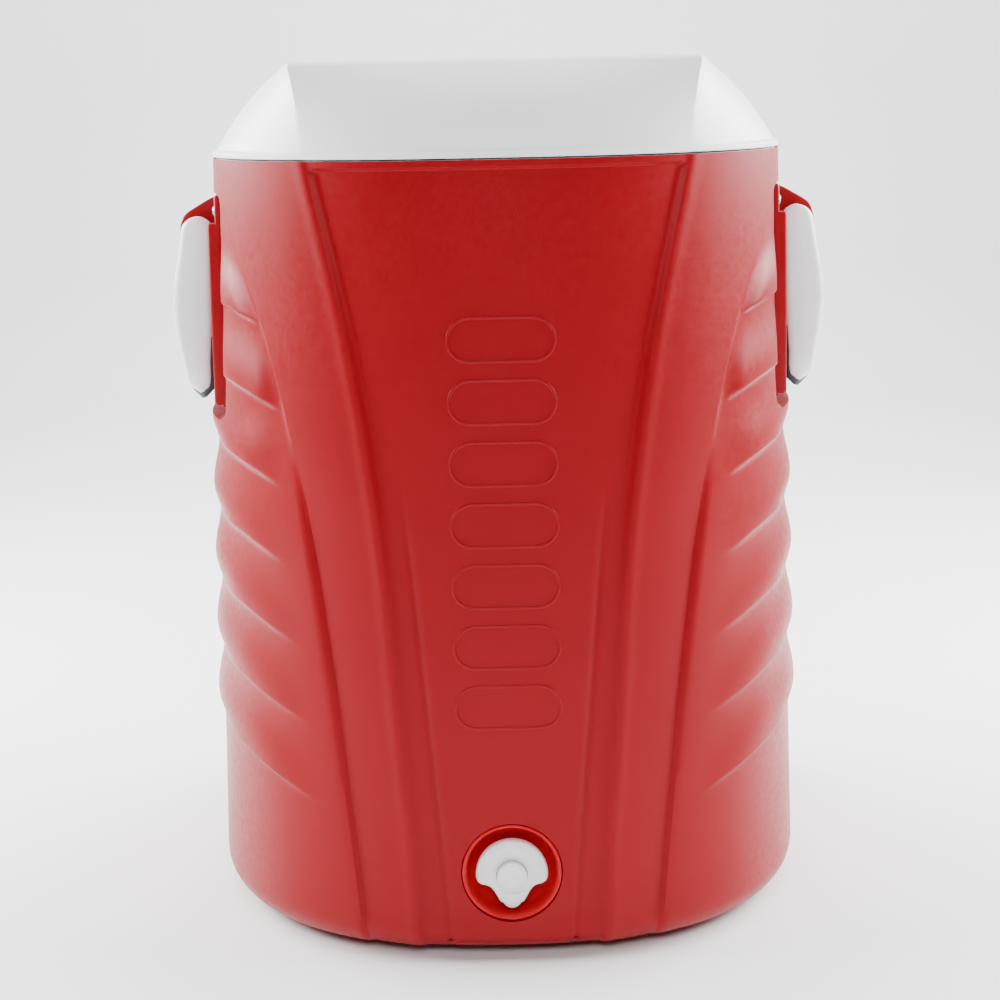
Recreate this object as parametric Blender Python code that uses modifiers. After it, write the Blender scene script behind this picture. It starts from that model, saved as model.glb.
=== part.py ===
"""Upright insulated cooler that stands on two front feet and two rear wheels.

Frame: +Z up, the front faces -Y, and the origin is on the floor under the middle of the body's
widest section.
Every length is in metres.
"""

import math

import bmesh
import bpy
from mathutils import Matrix, Vector

# ---------------------------------------------------------------- driving dimensions
HALF_WIDTH = 0.206  # body, at the seam under the lid
FRONT_DEPTH = 0.213  # from the widest section to the bowed front
BACK_DEPTH = 0.180  # from the widest section to the flatter back
FLARE = 0.0095  # how much wider each side is at the foot than at the seam
FRONT_POWER = 2.35  # superellipse powers of the plan outline
BACK_POWER = 3.4
BASE_Z = 0.006  # underside of the body, carried by feet and wheels
SEAM_Z = 0.540  # lid meets body
LID_HEIGHT = 0.065
GAP = 0.0003  # left between solids that touch

SHELL_WALL = 0.003
SHELL_TOP_Z = SEAM_Z - 0.0045
FOOT_FILLET = 0.020
LINER_INSET = 0.036  # outside of the tub below the body's outside, at the top
LINER_DRAFT = 0.010
LINER_WALL = 0.0025
TUB_FLOOR_Z = 0.036

POCKET_X = 0.194  # floor of the flat pocket that each handle bracket sits in
POCKET_HALF_Y = 0.081
POCKET_Z = (0.356, 0.515)

WHEEL_RADIUS = 0.052
WHEEL_X = 0.147
AXLE_Y = 0.155
AXLE_Z = WHEEL_RADIUS
AXLE_RADIUS = 0.005
WELL_RADIUS = 0.0595
WELL_INNER_X = 0.124

TAP_Z = 0.0590
RECESS_Z = 0.063
RECESS_RADIUS = 0.034
RECESS_FLOOR_Y = -0.190
TAP_THREAD_RADIUS = 0.0065
BUTTON_RADIUS = 0.0103

PIVOT_X = 0.2150  # handle pivots, which lie along Y
PIVOT_Z = 0.4862
ARM_Y = 0.060
ARM_WIDTH = 0.013
BOSS_RADIUS = 0.0118
BAIL_SIDES = 12
GRIP_DROP = 0.1135  # from the pivots down to the middle of the bar that the hand holds
GRIP_OUT = 0.0
PLATE_X = 0.200  # outside of the bracket's plate

TUBE_X = 0.070  # telescopic tow handle
TUBE_Y = 0.2020
SLEEVE_RADIUS = 0.0085
ROD_RADIUS = 0.0068
TOW_TOP_Z = 0.510
TOW_BACK_Y = 0.2184
SLEEVE_Z = (0.045, 0.463)
UPPER_BRACKET_Z = (0.440, 0.466)
LOWER_BRACKET_Z = (0.042, 0.070)
UPPER_SEAT_Y = 0.1880
LOWER_SEAT_Y = 0.1920
TOW_SCREW_X = 0.030

HINGE_X = 0.108
HINGE_Y = 0.1925
HINGE_Z = SEAM_Z - 0.001
HINGE_PIN_RADIUS = 0.0025
HINGE_SEAT_Y = 0.1840
HINGE_SCREW_DROP = 0.026

SCREW_RADIUS = 0.0020
SCREW_BORE = 0.0023

FOOT_AT = (0.110, -0.120)
TUB_WELL_GROW = 0.012  # insulation left over each wheel well
RING = 44  # points round the body's outline

# ---------------------------------------------------------------- scene helpers


def clear_scene():
    for obj in list(bpy.data.objects):
        bpy.data.objects.remove(obj, do_unlink=True)


def new_collection(name, shown):
    made = bpy.data.collections.new(name)
    bpy.context.scene.collection.children.link(made)
    made.hide_render = not shown
    return made


def make_material(name, colour, roughness, metallic=0.0):
    made = bpy.data.materials.new(name)
    made.use_nodes = True
    shader = made.node_tree.nodes["Principled BSDF"]
    shader.inputs["Base Color"].default_value = (*colour, 1.0)
    shader.inputs["Roughness"].default_value = roughness
    shader.inputs["Metallic"].default_value = metallic
    return made


clear_scene()
PARTS = new_collection("wheeled_cooler", True)
CUTTERS = new_collection("cutters", False)

RED = make_material("red_hdpe", (0.48, 0.012, 0.018), 0.42)
DARK_RED = make_material("dark_red_hdpe", (0.33, 0.008, 0.012), 0.40)
WHITE = make_material("white_pp", (0.82, 0.82, 0.81), 0.38)
FOAM = make_material("pu_foam", (0.78, 0.66, 0.40), 0.95)
SLATE = make_material("slate_grip", (0.055, 0.085, 0.11), 0.70)
RUBBER = make_material("black_rubber", (0.02, 0.02, 0.022), 0.80)
CHARCOAL = make_material("charcoal_plastic", (0.05, 0.053, 0.058), 0.50)
STEEL = make_material("steel", (0.62, 0.63, 0.65), 0.28, 1.0)
SEAL = make_material("silicone_seal", (0.60, 0.62, 0.63), 0.70)


def add_object(name, mesh, material=None):
    """A named part, or a cutter where there is no material."""
    obj = bpy.data.objects.new(name, mesh)
    if material is None:
        CUTTERS.objects.link(obj)
        obj.hide_render = True
        obj.display_type = "WIRE"
    else:
        PARTS.objects.link(obj)
        mesh.materials.append(material)
    return obj


def finish_mesh(name, bm, material, smooth_below=30.0):
    bmesh.ops.recalc_face_normals(bm, faces=bm.faces)
    mesh = bpy.data.meshes.new(name)
    bm.to_mesh(mesh)
    bm.free()
    mesh.shade_smooth()
    mesh.set_sharp_from_angle(angle=math.radians(smooth_below))
    return add_object(name, mesh, material)


def loft(name, rings, material=None):
    """A closed solid through rings with the same number of points, from one end to the other."""
    bm = bmesh.new()
    rows = [[bm.verts.new(point) for point in ring] for ring in rings]
    count = len(rings[0])
    for low, high in zip(rows, rows[1:]):
        for i in range(count):
            j = (i + 1) % count
            bm.faces.new((low[i], low[j], high[j], high[i]))
    bm.faces.new(rows[0][::-1])
    bm.faces.new(rows[-1])
    return finish_mesh(name, bm, material)


def box(name, low, high, material=None, bevel=0.0):
    """A block between two corners, with its edges rounded where bevel isn't 0."""
    size = Vector(high) - Vector(low)
    middle = (Vector(high) + Vector(low)) / 2
    bm = bmesh.new()
    bmesh.ops.create_cube(bm, size=1.0)
    bmesh.ops.scale(bm, vec=size, verts=bm.verts)
    obj = finish_mesh(name, bm, material)
    obj.location = middle
    if bevel:
        modifier = obj.modifiers.new("rounding", "BEVEL")
        modifier.width = bevel
        modifier.segments = 2
    return obj


TURN_TO = {
    "x": Matrix.Rotation(math.radians(90), 4, "Y"),
    "y": Matrix.Rotation(math.radians(-90), 4, "X"),
    "z": Matrix.Identity(4),
}


def cylinder(name, centre, radius, length, axis, material=None, sides=24):
    """A round bar about its own middle, along one of the frame's axes."""
    bm = bmesh.new()
    bmesh.ops.create_cone(
        bm, cap_ends=True, segments=sides, radius1=radius, radius2=radius, depth=length, matrix=TURN_TO[axis]
    )
    obj = finish_mesh(name, bm, material)
    obj.location = centre
    return obj


def turned(name, profile, centre, axis, material=None, steps=32):
    """A profile of (radius, distance along the axis) points turned about its axis.

    The points run down the outer side, from the far end to the near end. A ring's profile returns
    up its bore.
    """
    on_axis = profile[0][0] == 0.0
    mesh = bpy.data.meshes.new(name)
    edges = [(i, i + 1) for i in range(len(profile) - 1)]
    if not on_axis:
        edges.append((len(profile) - 1, 0))
    mesh.from_pydata([(radius, 0.0, along) for radius, along in profile], edges, [])
    obj = add_object(name, mesh, material)
    screw = obj.modifiers.new("turn", "SCREW")
    screw.steps = steps
    screw.render_steps = steps
    screw.use_merge_vertices = True
    screw.merge_threshold = 0.00005
    screw.use_smooth_shade = True
    obj.matrix_world = Matrix.Translation(centre) @ TURN_TO[axis]
    return obj


def boolean(obj, other, operation="DIFFERENCE"):
    modifier = obj.modifiers.new(operation.lower(), "BOOLEAN")
    modifier.operation = operation
    modifier.object = other


def cut(obj, *cutters):
    for cutter in cutters:
        boolean(obj, cutter)


def join(obj, *others):
    for other in others:
        boolean(obj, other, "UNION")


def extruded(name, outline, low_y, high_y, material=None):
    """A flat outline of (x, z) points, extruded along Y from low_y to high_y."""
    rings = [[(x, y, z) for x, z in outline] for y in (low_y, high_y)]
    return loft(name, rings, material)


# ---------------------------------------------------------------- the body's shape


def outline_point(angle, inset):
    """A point of the plan outline, at a polar angle: bowed at the front, flatter at the back."""
    across = math.cos(angle)
    along = math.sin(angle)
    power = FRONT_POWER if along < 0 else BACK_POWER
    half_width = HALF_WIDTH - inset
    depth = (FRONT_DEPTH if along < 0 else BACK_DEPTH) - inset
    radius = ((abs(across) / half_width) ** power + (abs(along) / depth) ** power) ** (-1 / power)
    return radius * across, radius * along


def outline_ring(z, inset):
    ring = []
    for i in range(RING):
        x, y = outline_point(2 * math.pi * i / RING, inset)
        ring.append((x, y, z))
    return ring


def flare_at(z):
    """How far the outside stands out beyond the seam's outline at a height."""
    return FLARE * (SEAM_Z - z) / (SEAM_Z - BASE_Z)


def outer_rings(inset, bottom_z, top_z):
    """Rings of the outside moved in by inset, with a rounded foot."""
    rings = []
    radius = FOOT_FILLET
    for step in range(4):
        turn = math.radians(30 * step)
        z = bottom_z + radius * (1 - math.cos(turn))
        rings.append(outline_ring(z, inset - flare_at(z) + radius * (1 - math.sin(turn))))
    for share in (0.35, 0.7, 1.0):
        z = bottom_z + radius + (top_z - bottom_z - radius) * share
        rings.append(outline_ring(z, inset - flare_at(z)))
    return rings


def draft_at(z):
    """How far the tub narrows between the seam and a height."""
    return LINER_DRAFT * (SEAM_Z - z) / (SEAM_Z - TUB_FLOOR_Z)


def tub_rings(inset, bottom_z, top_z):
    """Rings of the tub, which narrows towards its rounded floor."""
    rings = []
    corner = 0.010
    for drop, share in ((0.0, 1.0), (0.3, 0.3), (1.0, 0.0)):
        z = bottom_z + corner * drop
        rings.append(outline_ring(z, inset + draft_at(z) + corner * share))
    rings.append(outline_ring(top_z, inset + draft_at(top_z)))
    return rings


def mirrored_sides():
    return ((-1, "left"), (1, "right"))


def well_cutter(name, side, grow):
    """The space for a wheel: arched over it, and open to the side, the back and the floor."""
    radius = WELL_RADIUS + grow
    arch = []
    for step in range(9):
        turn = math.radians(180 - 11.25 * step)
        arch.append((AXLE_Y + radius * math.cos(turn), AXLE_Z + radius * math.sin(turn)))
    outline = [(AXLE_Y - radius, -0.05), *arch, (0.300, AXLE_Z + radius), (0.300, -0.05)]
    ends = (side * (WELL_INNER_X - grow), side * 0.300)
    return loft(name, [[(x, y, z) for y, z in outline] for x in ends])


def pocket_cutter(name, side, grow):
    x = sorted((side * (POCKET_X - grow), side * 0.300))
    low = (x[0], -POCKET_HALF_Y - grow, POCKET_Z[0] - grow)
    high = (x[1], POCKET_HALF_Y + grow, POCKET_Z[1] + grow)
    return box(name, low, high)


def recesses(name, grow):
    """Cutters for the two wheel wells and the two handle pockets, each grown by a wall."""
    found = []
    for side, word in mirrored_sides():
        found.append(well_cutter(f"{name}_well_{word}", side, grow))
        found.append(pocket_cutter(f"{name}_pocket_{word}", side, grow))
    return found


def tub_wells(name, grow):
    """The tub steps over each wheel well."""
    return [well_cutter(f"{name}_{word}", side, grow) for side, word in mirrored_sides()]


def axle_tunnel(name):
    return cylinder(name, (0, AXLE_Y, AXLE_Z), AXLE_RADIUS + 0.0006, 0.34, "x", sides=16)


def tap_bore(name, radius):
    return cylinder(name, (0, -0.170, TAP_Z), radius, 0.080, "y", sides=20)


def recess_bore(name, radius):
    """A round hole from the front to just behind the floor of the tap's recess."""
    back_y = RECESS_FLOOR_Y + 0.003
    length = 0.10
    return cylinder(name, (0, back_y - length / 2, RECESS_Z), radius, length, "y", sides=36)


def bracket_screws():
    """Where the handle brackets are screwed on: (name's end, point, axis)."""
    found = []
    for side, word in mirrored_sides():
        for y, end in ((-0.066, "front"), (0.066, "rear")):
            for z, level in ((POCKET_Z[0] + 0.020, "lower"), (POCKET_Z[1] - 0.013, "upper")):
                found.append((f"{word}_{end}_{level}", (side * PLATE_X, y, z), side))
    return found


def body_clearance(name):
    """The body's outside grown by the usual gap, so that what bolts to its back beds on the curve."""
    return loft(name, outer_rings(-GAP, BASE_Z, SEAM_Z))


def back_screws():
    """Where the tow brackets and the hinges are screwed to the back: (screw's name, its head's seat)."""
    found = []
    for side, word in mirrored_sides():
        x = side * TOW_SCREW_X
        found.append((f"tow_upper_screw_{word}", (x, UPPER_SEAT_Y, sum(UPPER_BRACKET_Z) / 2)))
        found.append((f"tow_lower_screw_{word}", (x, LOWER_SEAT_Y, sum(LOWER_BRACKET_Z) / 2)))
        found.append((f"hinge_screw_{word}", (side * HINGE_X, HINGE_SEAT_Y, HINGE_Z - HINGE_SCREW_DROP)))
    return found


def screw_bores(name):
    """The holes that every screw's thread runs in."""
    found = []
    for end, (x, y, z), side in bracket_screws():
        found.append(cylinder(f"{name}_{end}", (x, y, z), SCREW_BORE, 0.036, "x", sides=10))
    for screw, (x, y, z) in back_screws():
        found.append(cylinder(f"{name}_{screw}", (x, y, z), SCREW_BORE, 0.044, "y", sides=10))
    return found


def make_body_shell():
    shell = loft("body_shell", outer_rings(0.0, BASE_Z, SHELL_TOP_Z), RED)
    cut(shell, *recesses("shell_recess", 0.0))
    hollow = loft("shell_hollow", outer_rings(SHELL_WALL, BASE_Z + SHELL_WALL, SEAM_Z + 0.04))
    cut(hollow, *recesses("hollow_recess", SHELL_WALL))
    cut(shell, hollow, recess_bore("shell_tap_hole", RECESS_RADIUS), axle_tunnel("shell_tunnel"))
    cut(shell, *foot_holes("shell_foot", 0.0048), *screw_bores("shell_screw"))


def foot_holes(name, radius):
    found = []
    for side, word in mirrored_sides():
        middle = (side * FOOT_AT[0], FOOT_AT[1], 0.0)
        found.append(cylinder(f"{name}_{word}", middle, radius, 0.05, "z", sides=16))
    return found


def make_foam():
    inset = SHELL_WALL + GAP
    foam = loft("body_foam", outer_rings(inset, BASE_Z + inset, SHELL_TOP_Z - 0.001), FOAM)
    cut(foam, *recesses("foam_recess", inset))
    tub = loft("foam_hollow", tub_rings(LINER_INSET - GAP, TUB_FLOOR_Z - LINER_WALL - GAP, SEAM_Z + 0.04))
    cut(tub, *tub_wells("foam_tub_well", TUB_WELL_GROW - GAP))
    cut(foam, tub, recess_bore("foam_recess_bore", RECESS_RADIUS + 0.0025), tap_bore("foam_tap_bore", 0.0095))
    cut(foam, axle_tunnel("foam_tunnel"), *foot_holes("foam_foot", 0.0075), *screw_bores("foam_screw"))


def make_liner():
    top_z = SEAM_Z - 0.0008
    liner = loft("inner_liner", tub_rings(LINER_INSET, TUB_FLOOR_Z - LINER_WALL, top_z - 0.001), WHITE)
    cut(liner, *tub_wells("liner_well", TUB_WELL_GROW))
    flange = loft("liner_flange", [outline_ring(z, 0.0022) for z in (SHELL_TOP_Z + GAP, top_z)])
    join(liner, flange)
    hollow = loft("liner_hollow", tub_rings(LINER_INSET + LINER_WALL, TUB_FLOOR_Z, SEAM_Z + 0.04))
    cut(hollow, *tub_wells("liner_hollow_well", TUB_WELL_GROW + LINER_WALL))
    cut(liner, hollow, tap_bore("liner_tap_bore", TAP_THREAD_RADIUS + GAP))


# ---------------------------------------------------------------- lid

LID_CREASE = math.radians(53)  # where the corner creases meet the seam, below the X axis at the front
LID_BACK_CREASE = math.radians(48)
PLATEAU_HALF_WIDTH = 0.1415
PLATEAU_FRONT = 0.158
PLATEAU_BACK = 0.126
LID_STEPS = 10  # points along each of the lid's four sides


def lid_correspondence(inset):
    """Pairs of points: one on the seam's outline, one on the flat top's edge, side by side."""
    front_left = math.pi + LID_CREASE
    front_right = 2 * math.pi - LID_CREASE
    back_right = 2 * math.pi + LID_BACK_CREASE
    back_left = 3 * math.pi - LID_BACK_CREASE
    turns = (front_left, front_right, back_right, back_left, front_left + 2 * math.pi)
    width = PLATEAU_HALF_WIDTH - inset
    front = -PLATEAU_FRONT + inset
    back = PLATEAU_BACK - inset
    corners = ((-width, front), (width, front), (width, back), (-width, back), (-width, front))
    pairs = []
    for side in range(4):
        for step in range(LID_STEPS):
            share = step / LID_STEPS
            seam = outline_point(turns[side] + (turns[side + 1] - turns[side]) * share, inset)
            (x0, y0), (x1, y1) = corners[side], corners[side + 1]
            top = (x0 + (x1 - x0) * share, y0 + (y1 - y0) * share)
            pairs.append((seam, top))
    return pairs


def lid_ring(rise, inset, z):
    """A section of the lid at a share of its height: 0 is the seam's outline and 1 the flat top's edge."""
    blend = 1 - (1 - rise**1.1) ** 0.62
    ring = []
    for (x0, y0), (x1, y1) in lid_correspondence(inset):
        ring.append((x0 + (x1 - x0) * blend, y0 + (y1 - y0) * blend, z))
    return ring


LID_RISES = (0.0, 0.2, 0.42, 0.62, 0.8, 0.92, 0.985)


def lid_rings(inset, height):
    return [lid_ring(rise, inset, SEAM_Z + height * rise) for rise in LID_RISES]


def make_lid():
    shell = loft("lid_shell", lid_rings(0.0, LID_HEIGHT), WHITE)
    hollow_rings = lid_rings(0.0028, LID_HEIGHT - 0.0028)
    hollow_rings.insert(0, lid_ring(0.0, 0.0028, SEAM_Z - 0.02))
    cut(shell, loft("lid_hollow", hollow_rings))

    plate_z = (SEAM_Z + 0.0005, SEAM_Z + 0.0035)
    liner = loft("lid_liner", [lid_ring(0.0, 0.0052, z) for z in plate_z], WHITE)
    plug_inset = LINER_INSET + LINER_WALL + 0.0022
    plug = loft(
        "lid_plug",
        [outline_ring(SEAM_Z - 0.014, plug_inset + 0.005), outline_ring(SEAM_Z + 0.002, plug_inset)],
    )
    join(liner, plug)
    scoop = loft(
        "lid_plug_hollow",
        [outline_ring(SEAM_Z - 0.030, plug_inset + 0.020), outline_ring(SEAM_Z - 0.004, plug_inset + 0.024)],
    )
    cut(liner, scoop)

    foam_rings = lid_rings(0.0044, LID_HEIGHT - 0.0036)[1:]
    foam_rings.insert(0, lid_ring(0.05, 0.0056, SEAM_Z + 0.0040))
    loft("lid_foam", foam_rings, FOAM)

    gasket = loft(
        "lid_gasket",
        [outline_ring(z, plug_inset - 0.007) for z in (SEAM_Z - 0.0005, SEAM_Z + 0.0002)],
        SEAL,
    )
    gasket_bore = [outline_ring(z, plug_inset - 0.0004) for z in (SEAM_Z - 0.02, SEAM_Z + 0.02)]
    cut(gasket, loft("gasket_bore", gasket_bore))


# ---------------------------------------------------------------- lid hinges


def make_hinges():
    for side, word in mirrored_sides():
        x = side * HINGE_X
        make_body_leaf(word, x)
        make_lid_leaf(word, x)
        cylinder(f"hinge_pin_{word}", (x, HINGE_Y, HINGE_Z), HINGE_PIN_RADIUS, 0.034, "x", STEEL, sides=14)


def make_body_leaf(word, x):
    low = (x - 0.017, 0.155, HINGE_Z - 0.042)
    leaf = box(f"hinge_body_leaf_{word}", low, (x + 0.017, HINGE_SEAT_Y, HINGE_Z - 0.0085), CHARCOAL)
    for offset, end in ((-0.0115, "low"), (0.0115, "high")):
        low = (x + offset - 0.005, 0.160, HINGE_Z - 0.014)
        ear = box(f"hinge_ear_{word}_{end}", low, (x + offset + 0.005, HINGE_Y, HINGE_Z))
        at = (x + offset, HINGE_Y, HINGE_Z)
        join(leaf, ear, cylinder(f"hinge_barrel_{word}_{end}", at, 0.0055, 0.010, "x"))
    cut(leaf, hinge_bore(f"hinge_body_bore_{word}", x), body_clearance(f"hinge_body_cut_{word}"))
    screw_at = (x, HINGE_SEAT_Y, HINGE_Z - HINGE_SCREW_DROP)
    cut(leaf, cylinder(f"hinge_screw_bore_{word}", screw_at, SCREW_BORE, 0.05, "y", sides=10))


def make_lid_leaf(word, x):
    leaf = cylinder(f"hinge_lid_leaf_{word}", (x, HINGE_Y, HINGE_Z), 0.0055, 0.0122, "x", WHITE)
    low = (x - 0.0061, 0.160, HINGE_Z)
    web = box(f"hinge_web_{word}", low, (x + 0.0061, HINGE_Y, HINGE_Z + 0.0080))
    low = (x - 0.014, 0.150, HINGE_Z + 0.0065)
    strap = box(f"hinge_strap_{word}", low, (x + 0.014, 0.1865, HINGE_Z + 0.0240))
    join(leaf, web, strap)
    cut(leaf, hinge_bore(f"hinge_lid_bore_{word}", x), lid_clearance(f"hinge_lid_cut_{word}"))


def hinge_bore(name, x):
    return cylinder(name, (x, HINGE_Y, HINGE_Z), HINGE_PIN_RADIUS + GAP, 0.060, "x", sides=14)


def lid_clearance(name):
    """The lid's outside grown by twice the usual gap, so that what bolts to the lid beds on its curve."""
    rings = lid_rings(-2 * GAP, LID_HEIGHT)
    rings.insert(0, lid_ring(0.0, -2 * GAP, SEAM_Z - 0.020))
    return loft(name, rings)


# ---------------------------------------------------------------- side handles

HOOD_PROFILE = (  # hook over the pivot, as (x, height over the pivot)
    (0.1955, 0.0262),
    (0.2020, 0.0260),
    (0.2085, 0.0230),
    (0.2145, 0.0195),
    (0.2205, 0.0160),
    (0.2255, 0.0120),
    (0.2284, 0.0060),
    (0.2286, -0.0005),
    (0.2267, -0.0050),
    (0.2235, -0.0042),
    (0.2200, -0.0085),
    (0.2150, -0.0102),
    (0.2090, -0.0125),
    (0.1955, -0.0150),
)

BAIL_SPINE = (  # centre of the hanging bail's arm: (outward from the pivot, down from it, half its depth)
    (0.0000, 0.0000, 0.0112),
    (0.0022, 0.0180, 0.0126),
    (0.0044, 0.0380, 0.0141),
    (0.0052, 0.0540, 0.0146),
    (0.0040, 0.0760, 0.0132),
    (0.0015, 0.0960, 0.0100),
)


def make_side_handles():
    for side, word in mirrored_sides():
        make_bracket(side, word)
        make_bail(side, word)
        make_grip(side, word)
        pin_at = (side * PIVOT_X, 0, PIVOT_Z)
        cylinder(f"handle_pin_{word}", pin_at, 0.0032, 2 * ARM_Y + 0.006, "y", STEEL, sides=14)


def pivot_bore(name, side):
    return cylinder(name, (side * PIVOT_X, 0, PIVOT_Z), 0.0035, 2 * ARM_Y + 0.0066, "y", sides=14)


def make_bracket(side, word):
    plate_x = sorted((side * (POCKET_X + GAP), side * PLATE_X))
    half_y = POCKET_HALF_Y - 0.001
    low = (plate_x[0], -half_y, POCKET_Z[0] + 0.006)
    bracket = box(f"handle_bracket_{word}", low, (plate_x[1], half_y, POCKET_Z[1] - 0.001), RED)
    outline = [(side * x, PIVOT_Z + up) for x, up in HOOD_PROFILE]
    join(bracket, extruded(f"bracket_hood_{word}", outline, -0.0520, 0.0520))
    cut(bracket, pivot_bore(f"bracket_pivot_bore_{word}", side))
    for end, (x, y, z), screw_side in bracket_screws():
        if screw_side == side:
            cut(bracket, cylinder(f"bracket_screw_bore_{end}", (x, y, z), SCREW_BORE, 0.03, "x", sides=10))


def bail_path():
    """Points down the front arm, round the grip and up the rear arm: (outward, y, down, half depth)."""
    path = [(out, -ARM_Y, down, half) for out, down, half in BAIL_SPINE]
    corner = 0.016
    low_out, _, down, half = path[-1]
    for step in range(1, 4):
        turn = math.radians(30 * step)
        y = -ARM_Y + corner * (1 - math.cos(turn))
        out = low_out + (GRIP_OUT - low_out) * step / 3
        path.append((out, y, down + (GRIP_DROP - down) * math.sin(turn), half))
    back = [(o, -y, d, h) for o, y, d, h in reversed(path)]
    return path + back


def make_bail(side, word):
    """The bail: an oval bar bent in a U, with a round boss at each end of it."""
    path = bail_path()
    rings = []
    for i, (out, y, down, half) in enumerate(path):
        before = path[max(i - 1, 0)]
        after = path[min(i + 1, len(path) - 1)]
        forward = Vector((side * (after[0] - before[0]), after[1] - before[1], before[2] - after[2]))
        sideways = forward.cross(Vector((side, 0, 0))).normalized()
        outward = sideways.cross(forward).normalized()
        centre = Vector((side * (PIVOT_X + out), y, PIVOT_Z - down))
        ring = []
        for step in range(BAIL_SIDES):
            turn = 2 * math.pi * step / BAIL_SIDES
            across = outward * half * squared(math.cos(turn))
            ring.append(centre + across + sideways * ARM_WIDTH / 2 * squared(math.sin(turn)))
        rings.append(ring)
    bail = loft(f"handle_bail_{word}", rings, WHITE)
    for y, end in ((-ARM_Y, "front"), (ARM_Y, "rear")):
        at = (side * PIVOT_X, y, PIVOT_Z)
        join(bail, cylinder(f"bail_boss_{word}_{end}", at, BOSS_RADIUS, ARM_WIDTH, "y", sides=24))
    cut(bail, pivot_bore(f"bail_bore_{word}", side))


def squared(value, power=0.75):
    """Squares off a cosine or sine, for a section between an ellipse and a rectangle."""
    return math.copysign(abs(value) ** power, value)


def make_grip(side, word):
    """A soft channel under the bail's bar, open at the top."""
    centre = (side * (PIVOT_X + GRIP_OUT), 0, PIVOT_Z - GRIP_DROP)
    grip = box(f"handle_grip_{word}", (-0.0125, -0.0400, -0.0095), (0.0125, 0.0400, 0.0045), SLATE)
    channel = box(f"grip_channel_{word}", (-0.0103, -0.0500, -0.0068), (0.0103, 0.0500, 0.0300))
    for obj in (grip, channel):
        obj.location = obj.location + Vector(centre)
    cut(grip, channel)


# ---------------------------------------------------------------- tap


def tap_outline():
    """Outline of the tap's face, as (x, z) from the button: a wide dome over a narrow rounded tail."""
    dome = 0.0245
    dome_end = math.radians(-12)
    tail_z = -0.0198
    tail_radius = 0.0050
    right = [(dome * math.cos(dome_end), dome * math.sin(dome_end) - 0.0012)]
    shoulder = Vector((0.0205, -0.0072))
    waist = Vector((0.0095, -0.0085))
    tail = Vector((tail_radius, tail_z))
    for step in range(7):
        share = step / 6
        point = shoulder.lerp(waist, share).lerp(waist.lerp(tail, share), share)
        right.append((point.x, point.y))
    for degrees in (-25, -50, -72):
        turn = math.radians(degrees)
        right.append((tail_radius * math.cos(turn), tail_z + tail_radius * math.sin(turn)))
    left = [(-x, z) for x, z in reversed(right)]
    top = []
    for step in range(1, 24):
        turn = math.radians(192 - 8.5 * step)
        top.append((dome * math.cos(turn), dome * math.sin(turn)))
    return [*right, (0.0, tail_z - tail_radius), *left, *top]


def make_tap():
    rim_y = -FRONT_DEPTH - 0.0035
    well_back = RECESS_FLOOR_Y + 0.0027
    well_at = (0, (rim_y + well_back) / 2, RECESS_Z)
    well = cylinder("tap_well", well_at, RECESS_RADIUS - GAP, well_back - rim_y, "y", DARK_RED, sides=36)
    cup_at = (0, RECESS_FLOOR_Y - 0.03, RECESS_Z)
    cup = cylinder("tap_well_hollow", cup_at, RECESS_RADIUS - 0.0030, 0.06, "y", sides=36)
    cut(well, cup, tap_bore("tap_well_bore", TAP_THREAD_RADIUS + GAP))

    inner_y = -0.1500
    face_y = -0.2115
    barrel_length = inner_y + 0.195
    barrel_at = (0, inner_y - barrel_length / 2, TAP_Z)
    body = cylinder("tap_body", barrel_at, TAP_THREAD_RADIUS, barrel_length, "y", WHITE)
    head_back = RECESS_FLOOR_Y - 0.0020
    head_at = (0, (head_back + face_y) / 2, TAP_Z)
    head = cylinder("tap_head", head_at, 0.0135, head_back - face_y, "y", sides=28)
    plate = extruded("tap_face", [(x, TAP_Z + z) for x, z in tap_outline()], face_y, face_y + 0.0045)
    spout = cylinder("tap_spout", (0, -0.2000, TAP_Z - 0.011), 0.0068, 0.0220, "z", sides=20)
    join(body, head, plate, spout)
    cut(body, cylinder("tap_channel", (0, -0.1750, TAP_Z), 0.0042, 0.0700, "y", sides=14))
    cut(body, cylinder("tap_outlet", (0, -0.2000, TAP_Z - 0.018), 0.0045, 0.0300, "z", sides=14))
    cut(body, cylinder("tap_button_bore", (0, -0.2085, TAP_Z), BUTTON_RADIUS + 0.0004, 0.0120, "y", sides=28))

    button = cylinder("tap_button", (0, -0.2125, TAP_Z), BUTTON_RADIUS, 0.0070, "y", WHITE, sides=28)
    join(button, cylinder("tap_stem", (0, -0.2000, TAP_Z), 0.0016, 0.0240, "y", sides=10))

    make_tap_spring()
    ring = [(0.0118, 0.0008), (0.0118, -0.0008), (0.0070, -0.0008), (0.0070, 0.0008)]
    turned("tap_gasket", ring, (0, RECESS_FLOOR_Y - 0.0011, TAP_Z), "y", SEAL, steps=20)
    nut = cylinder("tap_nut", (0, -0.1585, TAP_Z), 0.0110, 0.0060, "y", CHARCOAL, sides=6)
    cut(nut, tap_bore("tap_nut_bore", TAP_THREAD_RADIUS + GAP))


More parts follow.
